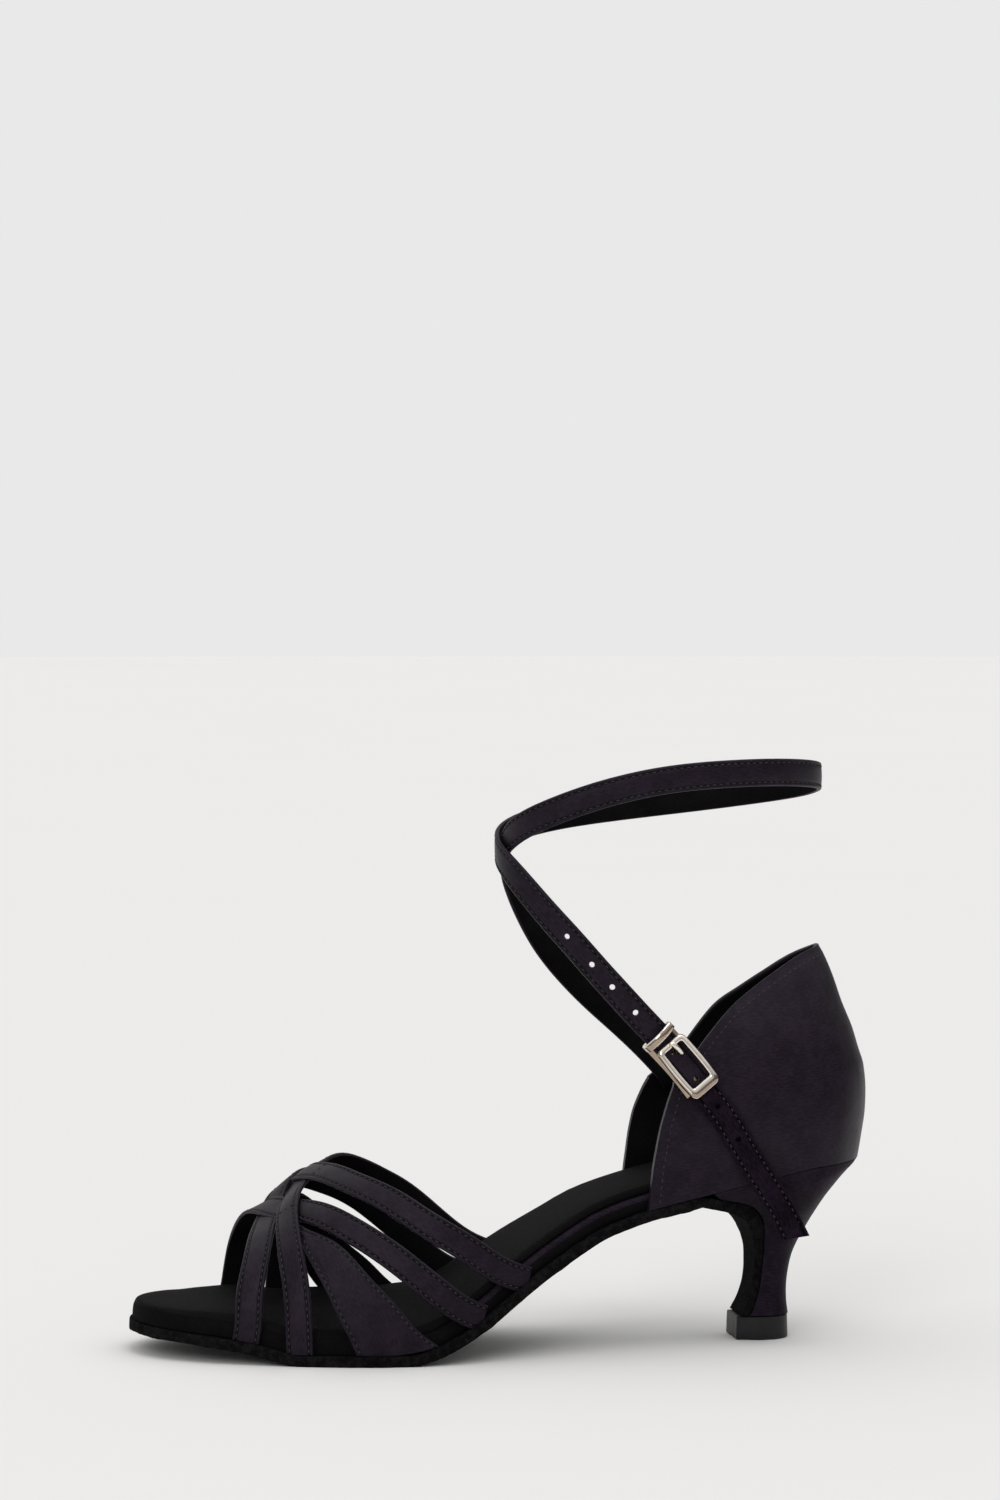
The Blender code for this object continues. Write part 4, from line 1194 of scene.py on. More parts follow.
class Finish(Nodes):
    """A material under construction."""

    def __init__(self, name, **constants):
        self.material = bpy.data.materials.new(name)
        self.material.use_nodes = True
        super().__init__(self.material.node_tree)
        self.shader = self.tree.nodes["Principled BSDF"]
        self.set(**constants)

    def set(self, **sockets):
        """Feed the shader's sockets by name."""
        for word, value in sockets.items():
            title = word.replace("_", " ").title().replace("Ior", "IOR")
            self.feed(self.shader.inputs[title], value)

    def flat(self, name):
        """A piece's flat map in metres."""
        return self.node("ShaderNodeUVMap", {"uv_map": name})

    def across(self, vector):
        """First and second part of a vector."""
        parts = self.node("ShaderNodeSeparateXYZ", inputs={0: vector})
        return parts, parts.output(1)

    def place(self):
        """Position on the shoe, in metres."""
        return self.node("ShaderNodeTexCoord", output="Object")

    def grain(self, scale, detail=2.0, roughness=0.5, stretch=None, vector=None):
        """Fractal noise from 0 to 1."""
        vector = vector or self.place()
        if stretch:
            settings = {"operation": "MULTIPLY"}
            vector = self.node("ShaderNodeVectorMath", settings, {0: vector, 1: stretch})
        inputs = {"Vector": vector, "Scale": scale, "Detail": detail, "Roughness": roughness}
        return self.node("ShaderNodeTexNoise", inputs=inputs)

    def cells(self, size):
        """Distance to the nearest cell of a grain."""
        return self.node("ShaderNodeTexVoronoi", inputs={"Vector": self.place(), "Scale": 1.0 / size})

    def colour(self, share, dark, light):
        """Base colour between a dark and a light one."""
        inputs = {0: share, 6: (*dark, 1.0), 7: (*light, 1.0)}
        self.set(base_color=self.node("ShaderNodeMix", {"data_type": "RGBA"}, inputs, output=2))

    def relief(self, height, distance, strength):
        """Bump from a height between 0 and 1, times a distance in metres."""
        inputs = {"Height": height, "Distance": distance, "Strength": strength}
        self.set(normal=self.node("ShaderNodeBump", inputs=inputs))


def tint(colour, share):
    """A colour made darker or lighter."""
    return tuple(share * v for v in colour)


def colour_setting(name, description, default):
    """Setting for a colour."""
    return FloatVectorProperty(name=name, description=description, subtype="COLOR", default=default)


def length_setting(name, description, default):
    """Setting for a length in metres."""
    return FloatProperty(name=name, description=description, unit="LENGTH", default=default)


def strength_setting(name, description, default):
    """Setting for the strength of a light."""
    return FloatProperty(name=name, description=description, min=0.0, default=default)


class SatinLook(bpy.types.PropertyGroup):
    """Cloth of the straps, the counter and the heel."""

    colour: colour_setting("Colour", "Satin in shade", (0.0018, 0.0010, 0.0021))
    glow: colour_setting("Glow", "Satin in light", (0.0140, 0.0078, 0.0168))
    thread_colour: colour_setting("Thread colour", "Sewing thread", (0.0165, 0.0140, 0.0170))
    twill_pitch: length_setting("Twill pitch", "Distance between twill lines", 0.00042)
    stitch_pitch: length_setting("Stitch pitch", "Distance between stitches", 0.0022)
    stitch_inset: length_setting("Stitch inset", "Seam's distance from an edge", 0.00125)
    thread_diameter: length_setting("Thread diameter", "Thickness of the thread", 0.00042)


class LeatherLook(bpy.types.PropertyGroup):
    """Leather of the sock and cloth of the linings."""

    colour: colour_setting("Colour", "Leather's colour", (0.0036, 0.0032, 0.0034))
    pore_size: length_setting("Pores", "Size of the grain", 0.0009)


class SuedeLook(bpy.types.PropertyGroup):
    """Suede of the sole."""

    colour: colour_setting("Colour", "Brushed down", (0.0036, 0.0032, 0.0033))
    nap: colour_setting("Nap", "Tips of the nap", (0.0120, 0.0110, 0.0113))
    fuzz: length_setting("Fuzz", "Roughness of the cut edge", 0.00026)


class MetalLook(bpy.types.PropertyGroup):
    """Plated metal of the buckle."""

    # Darker, warmer plating used as painted shade: it stands for the dark surroundings that some faces
    # would reflect
    shaded_colour: colour_setting("Shaded", "Plating on the outer slopes", (0.46, 0.36, 0.285))
    colour: colour_setting("Colour", "Plating", (0.96, 0.88, 0.79))
    roughness: FloatProperty(
        name="Roughness", description="Polish of the plating", subtype="FACTOR", default=0.12
    )


class StudioSetup(bpy.types.PropertyGroup):
    """Camera, floor and lights."""

    focal_length: FloatProperty(
        name="Focal length", description="Lens in millimetres", unit="CAMERA", default=115.0
    )
    distance: length_setting("Distance", "Camera to the aim", 1.5)
    aim: FloatVectorProperty(
        name="Aim", description="Point looked at", subtype="XYZ", default=(-0.0835, 0.0, 0.1869)
    )
    turn: FloatProperty(
        name="Turn", description="Turn towards the heel", subtype="ANGLE", default=math.radians(10.0)
    )
    tilt: FloatProperty(
        name="Tilt", description="Look down", subtype="ANGLE", default=math.radians(2.5)
    )
    floor_colour: colour_setting("Floor", "Painted board", (0.885, 0.878, 0.868))
    backdrop: strength_setting("Backdrop", "Brightness of the backdrop", 0.815)
    sky: strength_setting("Sky", "Light from above", 0.92)
    surround: strength_setting("Surround", "Level light from behind", 0.50)
    front_light: strength_setting("Front light", "Level light from the camera's side", 0.31)
    side_light: strength_setting("Side light", "Level light from behind the heel", 0.12)
    key_power: strength_setting("Key light", "Broad light from above", 0.42)
    front_power: strength_setting("Front lamp", "Soft lamp beside the camera", 0.46)
    rim_power: strength_setting("Rim light", "Soft light from behind the heel", 0.05)


FINISHES = {}
# Bright plating, and a darker copy of it used as painted shade on faces that would reflect dark
# surroundings
METAL = ["nickel", "brassy"]


def satin_finish(look, name, shine=1.0):
    """Satin: fine twill, soft mottling, a painted highlight along its edges, and a pressed
    channel with painted shade and needle holes at each seam.
    """
    finish = Finish(name, sheen_weight=0.01, sheen_roughness=0.4, specular_ior_level=0.19 * shine)
    finish.set(specular_tint=(0.92, 0.80, 0.97, 1.0))
    cloth = finish.flat("cloth")
    along, across = finish.across(cloth)
    run, edge = finish.across(finish.flat("seam"))
    twill = ((along + across * 0.55) * (math.tau / look.twill_pitch)).wave()
    streaks = finish.grain(1400.0, 3.0, 0.6, (0.35, 1.7, 1.0), cloth)
    mottle = finish.grain(170.0, 3.0, 0.55)
    fibres = finish.grain(2600.0, 2.0, 0.6)
    # Mask of each seam's pressed channel; it deepens the bump and also darkens the colour there as
    # painted shade
    shaded_channel = 1.0 - abs(edge - look.stitch_inset).between(0.0, 0.00055)
    needled = ((run * (math.tau / look.stitch_pitch)).wave() * 0.5 + 0.5) * shaded_channel
    # Painted highlight: the colour is lifted towards the lit satin colour along the cloth's edges
    painted_light = 1.0 - edge.between(0.0002, 0.0008)
    # Colour mixed from random mottle and streaks, with the edges' painted highlight added and each
    # seam channel darkened as painted shade
    share = (mottle * 0.35 + streaks * 0.65).between(0.36, 0.66) + painted_light * 0.10 - shaded_channel
    finish.colour(share, look.colour, look.glow)
    rough = 0.37 - mottle * 0.12 * shine + fibres * 0.16 + (1.0 - shine) * 0.30 + shaded_channel * 0.2
    finish.set(roughness=rough)
    height = twill * 0.14 + streaks * 0.30 + fibres * 0.40 - shaded_channel * 0.9 - needled * 1.4
    finish.relief(height, 0.00012, 0.8)
    return finish.material


def lining_finish(look):
    """Brushed cloth inside the straps and the counter."""
    finish = Finish("lining", specular_ior_level=0.05)
    nap = finish.grain(1900.0, 3.0, 0.65)
    clouds = finish.grain(120.0)
    share = (nap * 0.6 + clouds * 0.4).between(0.35, 0.68)
    finish.colour(share, tint(look.colour, 0.85), tint(look.colour, 1.9))
    finish.set(roughness=0.78 + nap * 0.2)
    finish.relief(nap, 0.00012, 0.8)
    return finish.material


def sock_finish(look):
    """Grained leather of the sock."""
    finish = Finish("sock_leather", specular_ior_level=0.06)
    warp = finish.grain(420.0)
    fine = finish.grain(2400.0, 3.0, 0.6)
    wear = finish.grain(55.0, 4.0, 0.6)
    share = (wear * 0.7 + fine * 0.3).between(0.38, 0.66)
    finish.colour(share, tint(look.colour, 0.8), tint(look.colour, 1.75))
    finish.set(roughness=0.62 + wear * 0.18 + fine * 0.16)
    finish.relief(finish.cells(look.pore_size) * 0.75 + fine * 0.35 + warp * 0.25, 0.00026, 1.0)
    return finish.material


def suede_finish(look):
    """Suede: a deep fibrous nap with lighter tips."""
    finish = Finish("suede", specular_ior_level=0.03)
    nap = finish.grain(1500.0, 4.0, 0.72)
    tufts = finish.grain(460.0, 3.0, 0.6)
    brushed = finish.grain(60.0, stretch=(0.6, 1.4, 1.0))
    share = (nap * 0.40 + tufts * 0.45 + brushed * 0.15).between(0.42, 0.62)
    finish.colour(share, look.colour, look.nap)
    finish.set(roughness=0.88 + nap * 0.12)
    finish.relief(nap * 0.6 + tufts * 0.8, 0.00045, 1.0)
    return finish.material


def thread_finish(look):
    """Twisted sewing thread."""
    finish = Finish("thread", specular_ior_level=0.40)
    ply = finish.grain(3800.0, 1.0)
    finish.colour(ply, look.thread_colour, tint(look.thread_colour, 1.9))
    finish.set(roughness=0.5 + ply * 0.2)
    finish.relief(ply, 0.00006, 0.8)
    return finish.material


def metal_finish(look, name, light):
    """Polished plating with soft ripples and hairline scratches."""
    finish = Finish(name, metallic=1.0)
    ripple = finish.grain(260.0)
    hairline = finish.grain(2200.0, stretch=(0.25, 1.0, 1.6))
    share = (ripple * 0.6 + hairline * 0.4).between(0.3, 0.7)
    finish.colour(share, tint(light, 0.78), light)
    finish.set(roughness=look.roughness - 0.05 + hairline * 0.12)
    finish.relief(ripple * 0.8 + hairline * 0.12, 0.00007, 0.7)
    return finish.material


def plastic_finish():
    """Moulded heel tip, scuffed towards the tread."""
    finish = Finish("cap_plastic", specular_ior_level=0.30)
    scuff = finish.grain(700.0, 4.0, 0.65, (1.0, 1.0, 0.4))
    clouds = finish.grain(160.0)
    share = (scuff * 0.6 + clouds * 0.4).between(0.42, 0.70)
    finish.colour(share, (0.0050, 0.0050, 0.0052), (0.0110, 0.0110, 0.0115))
    finish.set(roughness=0.30 + scuff * 0.28)
    finish.relief(scuff * 0.5 + clouds * 0.5, 0.00008, 0.6)
    return finish.material


def floor_finish(look):
    """Matt painted board with a few faint marks."""
    finish = Finish("studio_floor", specular_ior_level=0.15)
    tooth = finish.grain(900.0, 2.0, 0.6)
    finish.colour(finish.grain(3.0, 3.0), tint(look.floor_colour, 0.985), look.floor_colour)
    finish.set(roughness=0.85 + tooth * 0.1)
    finish.relief(tooth, 0.00006, 0.3)
    return finish.material


def stitch_spots(line, pitch):
    """Middle, direction out and run of each stitch along a line of points and directions."""
    left = 0.5 * pitch
    for (here, out), (there, next_out) in zip(line, line[1:]):
        run = there - here
        span = run.length
        while left <= span:
            share = left / span
            yield mix(here, there, share), mix(out, next_out, share), run.normalized()
            left += pitch
        left -= span


def lay_stitches(name, lines, look):
    """Sew a run of short threads along each line of points and directions out."""
    mesh_data = bmesh.new()
    radius = look.thread_diameter / 2
    length = STITCH_SHARE * look.stitch_pitch
    for line in lines:
        for centre, out, run in stitch_spots(line, look.stitch_pitch):
            out = (out - run * out.dot(run)).normalized()
            side = run.cross(out)
            rows = []
            for along, size, level in STITCH_ROWS:
                middle = centre + run * along * length + out * radius * level
                half = radius * size
                ring = oval(middle, side * half, out * (THREAD_FLATNESS * half), THREAD_SIDES)
                rows.append([mesh_data.verts.new(point) for point in ring])
            for near, far in zip(rows, rows[1:]):
                bridge(mesh_data, near, far)
            mesh_data.faces.new(rows[0])
            mesh_data.faces.new(rows[-1])
    thread = new_piece(name, mesh_data, ["thread"], 80.0)


class SHOE_OT_finishes(bpy.types.Operator):
    """Mix the satin, leather, suede, thread, plating and plastic"""

    bl_idname = "dance_shoe.finishes"
    bl_label = "Mix Finishes"

    def execute(self, context):
        scene = context.scene
        satin, leather, metal = scene.shoe_satin, scene.shoe_leather, scene.shoe_metal
        FINISHES["strap_satin"] = satin_finish(satin, "strap_satin")
        FINISHES["tail_satin"] = satin_finish(satin, "tail_satin", shine=0.3)
        FINISHES["heel_satin"] = satin_finish(satin, "heel_satin", shine=0.6)
        FINISHES["lining"] = lining_finish(leather)
        FINISHES["sock_leather"] = sock_finish(leather)
        FINISHES["suede"] = suede_finish(scene.shoe_suede)
        FINISHES["thread"] = thread_finish(satin)
        FINISHES["nickel"] = metal_finish(metal, "nickel", metal.colour)
        # Darker copy of the plating, used as painted shade
        FINISHES["brassy"] = metal_finish(metal, "brassy", metal.shaded_colour)
        FINISHES["cap_plastic"] = plastic_finish()
        return {"FINISHED"}


def sole_section(little, big, between=9):
    """Section of the suede sole: distance from the middle and share of the thickness."""
    corner = min(EDGE_CHAMFER, 0.5 * (little + big))
    curve = [(corner * inward, mix(0.7, 1.0, up)) for inward, up in corner_steps(EDGE_STEPS)]
    upper = [(inward - little, share) for inward, share in curve]
    upper += [(mix(corner - little, big - corner, k / between), 1.0) for k in range(1, between)]
    upper += [(big - inward, share) for inward, share in reversed(curve)]
    return upper + [(y, 1.0 - share) for y, share in reversed(upper)]


def cushioned(angle, side, inset, height):
    """Inset of a plate's edge, drawn into the soft curve that sock and insole share in front."""
    station = station_at(outline_point(angle, side, SOLE_RIM).x)
    fade = (CUSHION_FADE[1] - station) / (CUSHION_FADE[1] - CUSHION_FADE[0])
    top = INSOLE_THICKNESS + GAP + SOCK_THICKNESS * PADDING(station)
    over = height(station) - OUTSOLE_THICKNESS - GAP - CUSHION_START
    rise = max(over, 0.0) / (top - CUSHION_START)
    curve = SOLE_RIM + CUSHION_REACH * (1.0 - math.sqrt(max(1.0 - rise * rise, 0.0)))
    return mix(inset, curve, min(max(fade, 0.0), 1.0))


def plate_piece(name, inset, bottom, thickness, rounding, finishes, padded=False, crown=0.0):
    """Closed plate over the sole's underside with a rounded upper edge."""
    levels = [(inset + rounding * 0.4, 0.0), (inset, 0.25)]
    levels += [(inset + rounding * inward, 0.5 + 0.5 * up) for inward, up in corner_steps(5)]

    def height(station, share):
        full = PADDING(station) if padded else 1.0
        return bottom + thickness * share * full

    def edge_points(side, shift, share):
        points = []
        for angle in steps(0.0, math.pi, RIM_STEPS):
            inward = cushioned(angle, side, shift, lambda station: height(station, share))
            points.append(outline_point(angle, side, inward))
        return points

    flats = [edge_points(-1, *level) + edge_points(1, *level)[::-1] for level in levels]
    rings = []
    for flat, (shift, share) in zip(flats, levels):
        rings.append([layer(p.x, p.y, height(station_at(p.x), share)) for p in flat])

    def across(end, i):
        near, far = flats[end][i], flats[end][-1 - i]
        points = []
        for k in range(1, ACROSS_STEPS):
            spot = mix(near, far, k / ACROSS_STEPS)
            swell = crown * (1.0 - (2.0 * k / ACROSS_STEPS - 1.0) ** 4) if end else 0.0
            level = height(station_at(spot.x), levels[end][1])
            points.append(layer(spot.x, spot.y, level + swell))
        return points

    def tone(i, j):
        return 0 if i >= 3 and flats[i][j].x > station_x(RIDGE_START) else len(finishes) - 1

    return skin(name, rings, finishes, across=across, tone=tone, sharp=60.0)


def waves(point, rows):
    """Sum of smooth noises at a point, each with its waves in a metre and its height."""
    return sum(height * noise.noise(point * scale) for scale, height in rows)


class SHOE_OT_sole(bpy.types.Operator):
    """Build the suede sole, the insole and the padded sock"""

    bl_idname = "dance_shoe.sole"
    bl_label = "Sole and Sock"

    def execute(self, context):
        fuzz = context.scene.shoe_suede.fuzz
        rings = []
        for angle in steps(0.0, station_angle(TURN_STATION), SOLE_STEPS):
            x = station_x(round_share(angle))
            edge = sole_section(half_width(x, -1), half_width(x, 1))
            rings.append([layer(x, y, share * OUTSOLE_THICKNESS) for y, share in edge])
        for drop in [d * d for d in steps(0.12, 1.0, BREAST_STEPS)]:
            low, width = breast_point(drop, 0.0)
            high, width = breast_point(drop, 1.0)
            ring = []
            for y, share in sole_section(width, width):
                point = mix(low, high, share)
                ring.append(Vector((point.x, y, point.z)))
            rings.append(ring)
        count = len(rings[0])
        edges = []
        for j in range(count):
            if min(j, count - 1 - j, abs(j - count / 2 + 0.5)) < EDGE_STEPS + 1:
                edges.append(j)
        for ring in rings[2:-1]:
            for j in edges:
                point = ring[j]
                push = min(waves(point, FUZZ_WAVES), MOST_FUZZ) * fuzz + waves(point, ROLL_WAVES)
                lift = 0.5 * push if point.z > 0.004 else 0.0
                ring[j] = point + Vector((0.0, math.copysign(push, point.y), lift))
        sole = skin("sole_suede", rings, ["suede"], sharp=50.0)
        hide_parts("outsole")
        bottom = OUTSOLE_THICKNESS + GAP
        covers = ["heel_satin", "lining"]
        board = plate_piece("insole_cover", SOLE_RIM, bottom, INSOLE_THICKNESS, BOARD_ROUNDING, covers)
        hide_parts("insole")
        sock = plate_piece(
            "sock_cover",
            SOLE_RIM + SOCK_INSET,
            bottom + INSOLE_THICKNESS + 0.3 * GAP,
            SOCK_THICKNESS + 0.7 * GAP,
            SOCK_ROUNDING,
            ["sock_leather"],
            padded=True,
            crown=SOCK_CROWN,
        )
        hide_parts("sock")
        return {"FINISHED"}


def underneath(j, count):
    """Whether a face round a folded section lies underneath, where the lining is."""
    return j in (0, 1, count - 2, count - 1)


def lined_skin(name, rings, places):
    """Skin a folded band: satin above, lining underneath."""
    count = len(rings[0])

    def tone(i, j):
        return 1 if underneath(j, count) else 0

    return skin(name, rings, ["strap_satin", "lining"], places=places, tone=tone)


class SHOE_OT_vamp(bpy.types.Operator):
    """Build the crossed straps and the wedge panels over the toes, with their seams"""

    bl_idname = "dance_shoe.vamp"
    bl_label = "Vamp Straps"

    def execute(self, context):
        look = context.scene.shoe_satin
        half = COVER_SPREAD * VAMP_STRAP_WIDTH
        reach = half - look.stitch_inset
        section = folded_section(2.0 * half, VAMP_THICKNESS, look.stitch_inset)
        turns = steps(-1.0, 1.0, VAMP_STEPS)
        lines, pieces = [], []
        for order, (name, rows) in enumerate(VAMP_STRAPS.items(), 1):
            band = strap_band(rows, order, turns)
            rings = [[band.strap_spot(i, v, h) for v, h in section] for i in range(len(turns))]
            places = [[(along, v, half - abs(v)) for v, h in section] for along in band.along]
            pieces.append(lined_skin("strap_" + name, rings, places))
            for side in (-reach, reach):
                spots = [band.strap_spot(i, side, 0.95 * VAMP_THICKNESS) for i in range(len(turns))]
                lines.append(list(zip(spots, band.outs)))
            for turn in [turn for tacked, turn in CROSS_SEAMS if tacked == name]:
                i = round((turn + 1.0) / 2.0 * VAMP_STEPS)
                spots = [band.strap_spot(i, v, 1.05 * VAMP_THICKNESS) for v in steps(-reach, reach, 8)]
                lines.append([(spot, band.outs[i]) for spot in spots])
        for name, rows in VAMP_PANELS.items():
            piece, seams = self.build_panel(name, rows, look)
            pieces.append(piece)
            lines += seams
        for piece in pieces:
            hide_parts("vamp")
        lay_stitches("vamp_thread", lines, look)
        return {"FINISHED"}

    def build_panel(self, name, rows, look):
        """One wedge panel between two straps, with a seam along each edge."""
        thickness = PANEL_SHARE * VAMP_THICKNESS
        turns = steps(rows[0][0], rows[-1][0], PANEL_STEPS)
        band = Band(turns, column(rows, 1), column(rows, 2), lambda turn: 0.0)
        rings, places = [], []
        seams = {-1: [], 1: []}
        for i in range(len(turns)):
            wide = (band.rears[i] - band.fronts[i]).length
            section = folded_section(wide, thickness, min(look.stitch_inset, 0.3 * wide))
            rings.append([band.panel_spot(i, v / wide * 2.0, h) for v, h in section])
            places.append([(band.along[i], v, wide / 2 - abs(v)) for v, h in section])
            if wide > LEAST_SEAM_WIDTH:
                for side, seam in seams.items():
                    share = side * (1.0 - 2.0 * look.stitch_inset / wide)
                    seam.append((band.panel_spot(i, share, 0.95 * thickness), band.outs[i]))
        return lined_skin("panel_" + name, rings, places), list(seams.values())


class SHOE_OT_counter(bpy.types.Operator):
    """Build the closed heel counter with its lining and its top seam"""

    bl_idname = "dance_shoe.counter"
    bl_label = "Heel Counter"

    def execute(self, context):
        shares = [s ** 1.5 for s in steps(0.0, 1.0, COUNTER_STEPS)]
        path = [(share, -1) for share in reversed(shares)] + [(share, 1) for share in shares[1:]]
        levels = steps(0.0, 1.0, COUNTER_LEVELS)
        rings = []
        for share, side in path:
            outer = [counter_point(share, level, side) for level in levels]
            inner = []
            for level, point in zip(levels, outer):
                moved = point - counter_normal(share, level, side) * COUNTER_WALL
                moved.z = max(moved.z, level_z(moved.x, OUTSOLE_THICKNESS + GAP))
                inner.append(moved)
            lip = []
            for turn in LIP_TURNS:
                angle = math.radians(turn)
                rise = Vector((0.0, 0.0, LIP_RISE * COUNTER_WALL * math.sin(angle)))
                lip.append(mix(outer[-1], inner[-1], round_share(angle)) + rise)
            rings.append(outer + lip + inner[::-1])

        lined = len(levels) + (len(LIP_TURNS) + 1) // 2

        def tone(i, j):
            return 1 if j >= lined else 0

        counter = skin("counter_shell", rings, ["strap_satin", "lining"], tone=tone)
        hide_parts("quarter")
        lines = []
        for side in (-1, 1):
            lines.append([self.seam_spot(share, side) for share in steps(*TOP_SEAM)])
            front = [(FRONT_SEAM_SHARE, level, side) for level in steps(*FRONT_SEAM)]
            lines.append([(counter_point(*spot), counter_normal(*spot)) for spot in front])
        lay_stitches("counter_thread", lines, context.scene.shoe_satin)
        return {"FINISHED"}

    def seam_spot(self, share, side):
        """Point of the seam below the counter's top line, and the direction out."""
        low, high = counter_span(share, side)
        near = counter_point(max(share - 0.02, 0.0), 1.0, side)
        run = counter_point(min(share + 0.02, 1.0), 1.0, side) - near
        fall = TOP_SEAM_DROP * run.length / max(math.hypot(run.x, run.y), 0.3 * run.length)
        spot = share, 1.0 - fall / (high - low), side
        return counter_point(*spot), counter_normal(*spot)


class SHOE_OT_heel(bpy.types.Operator):
    """Build the satin-covered heel and its moulded tip"""

    bl_idname = "dance_shoe.heel"
    bl_label = "Heel and Tip"

    def execute(self, context):
        rings = []
        seat = layer(SEAT_OVERHANG, 0.0, OUTSOLE_THICKNESS)
        for drop, rise, reach, wide in HEEL_ROWS:
            front, front_width = breast_point(drop, 1.0, GAP)
            x = mix(TREAD_LENGTH / 2, SEAT_OVERHANG, reach)
            back = Vector((x, 0.0, mix(CAP_HEIGHT + GAP, seat.z, rise)))
            width = mix(TREAD_WIDTH / 2, SEAT_WIDTH / 2, wide)
            rings.append(heel_ring(front, back, front_width, width))
        start = station_x(HEEL_FRONT_STATION)
        xs = [mix(start, SEAT_OVERHANG, round_share(a)) for a in steps(0.0, math.pi, HEEL_STEPS)]
        little = [layer(x, -half_width(x, -1), OUTSOLE_THICKNESS) for x in xs]
        big = [layer(x, half_width(x, 1), OUTSOLE_THICKNESS) for x in xs]
        rings.append(little + big[::-1])
        columns = [smooth_route(line, 5) for line in zip(*rings)]
        heel = skin("heel_cover", list(zip(*columns)), ["heel_satin"], sharp=40.0)
        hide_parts("heel")
        rings = []
        for chamfers, heights, growth, spreads in CAP_ROWS:
            z = chamfers * EDGE_CHAMFER + heights * CAP_HEIGHT
            grow = growth * EDGE_CHAMFER + spreads * CAP_SPREAD
            end = TREAD_LENGTH / 2 + grow
            half = TREAD_WIDTH / 2 + grow
            ends = Vector((-end, 0.0, z)), Vector((end, 0.0, z))
            rings.append(heel_ring(*ends, half - CAP_TAPER, half))
        cap = skin("heel_tip", rings, ["cap_plastic"], sharp=35.0)
        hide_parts("heel_cap")
        return {"FINISHED"}


class SHOE_OT_ankle_strap(bpy.types.Operator):
    """Build the long ankle strap with its seams and punched holes"""

    bl_idname = "dance_shoe.ankle_strap"
    bl_label = "Ankle Strap"

    def execute(self, context):
        look = context.scene.shoe_satin
        route = AnkleRoute()
        section = folded_section(STRAP_WIDTH, COVER_THICKNESS, look.stitch_inset)
        rings, places = [], []
        distances = steps(route.start, route.end, STRAP_STEPS)
        for distance in distances:
            middle, run, width, out = route.place(distance)
            turned = max(1.0 - (route.end - distance) / TAIL_REACH, 0.0) ** 2
            ring = []
            for v, h in section:
                side = 2.0 * v / STRAP_WIDTH
                longer = turned * (TAIL_SLANT[0] + TAIL_SLANT[1] * side)
                lifted = turned * TAIL_CURL * (0.5 + 0.5 * side) ** 2
                point = middle - width * v + out * (h - COVER_THICKNESS / 2 + lifted)
                ring.append(point + run * longer)
            rings.append(ring)
            places.append([(distance, v, STRAP_WIDTH / 2 - abs(v)) for v, h in section])
        tail = BUCKLE_LENGTH / 2 - BUCKLE_BAR

        def tone(i, j):
            if underneath(j, len(section)):
                return 1
            return 2 if distances[i] > tail else 0

        finishes = ["strap_satin", "lining", "tail_satin"]
        strap = skin("ankle_strap_satin", rings, finishes, places=places, tone=tone)
        self.punch(strap, route)
        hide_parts("ankle_strap")
        clear = BUCKLE_LENGTH / 2 + SEAM_CLEARANCE
        before = [d for d in distances if d <= -clear]
        behind = [d for d in distances if d >= clear]
        reach = STRAP_WIDTH / 2 - look.stitch_inset
        lines = []
        for side in (-reach, reach):
            for part in (before, behind):
                spots = [route.spot(d, side, 0.45 * COVER_THICKNESS) for d in part]
                lines.append([(spot, route.place(d)[3]) for spot, d in zip(spots, part)])
        lay_stitches("ankle_thread", lines, look)
        return {"FINISHED"}

    def punch(self, strap, route):
        """Cut the round holes through the strap."""
        mesh_data = bmesh.new()
        for distance in STRAP_HOLES:
            middle, run, width, out = route.place(distance)
            axes = Matrix((width, run, out)).transposed().to_4x4()
            axes.translation = middle
            bmesh.ops.create_cone(
                mesh_data,
                cap_ends=True,
                segments=HOLE_SIDES,
                radius1=HOLE_DIAMETER / 2,
                radius2=HOLE_DIAMETER / 2,
                depth=2.2 * STRAP_THICKNESS,
                matrix=axes,
            )
        punch = linked("hole_punch", mesh_data)
        cut = strap.modifiers.new("holes", "BOOLEAN")
        cut.operation = "DIFFERENCE"
        cut.solver = "EXACT"
        cut.object = punch
        graph = bpy.context.evaluated_depsgraph_get()
        strap.data = bpy.data.meshes.new_from_object(strap.evaluated_get(graph), depsgraph=graph)
        strap.modifiers.clear()
        strap.data.set_sharp_from_angle(angle=math.radians(SHARP_ANGLE))
        bpy.data.objects.remove(punch, do_unlink=True)


def rounded_rectangle(length, width, radius, round_steps=7, side_steps=4):
    """Points of a rectangle with round corners, as pairs along and across."""
    points = []
    corners = ((1, 1, 0.0), (-1, 1, 90.0), (-1, -1, 180.0), (1, -1, 270.0))
    for along, across, start in corners:
        for k in range(round_steps + 1):
            angle = math.radians(start + 90.0 * k / round_steps)
            u = along * (length / 2 - radius) + radius * math.cos(angle)
            v = across * (width / 2 - radius) + radius * math.sin(angle)
            points.append(Vector((u, v)))
    full = []
    for near, far in zip(points, points[1:] + points[:1]):
        full.append(near)
        if (far - near).length > 2.5 * radius / round_steps:
            full += [mix(near, far, k / side_steps) for k in range(1, side_steps)]
    return full


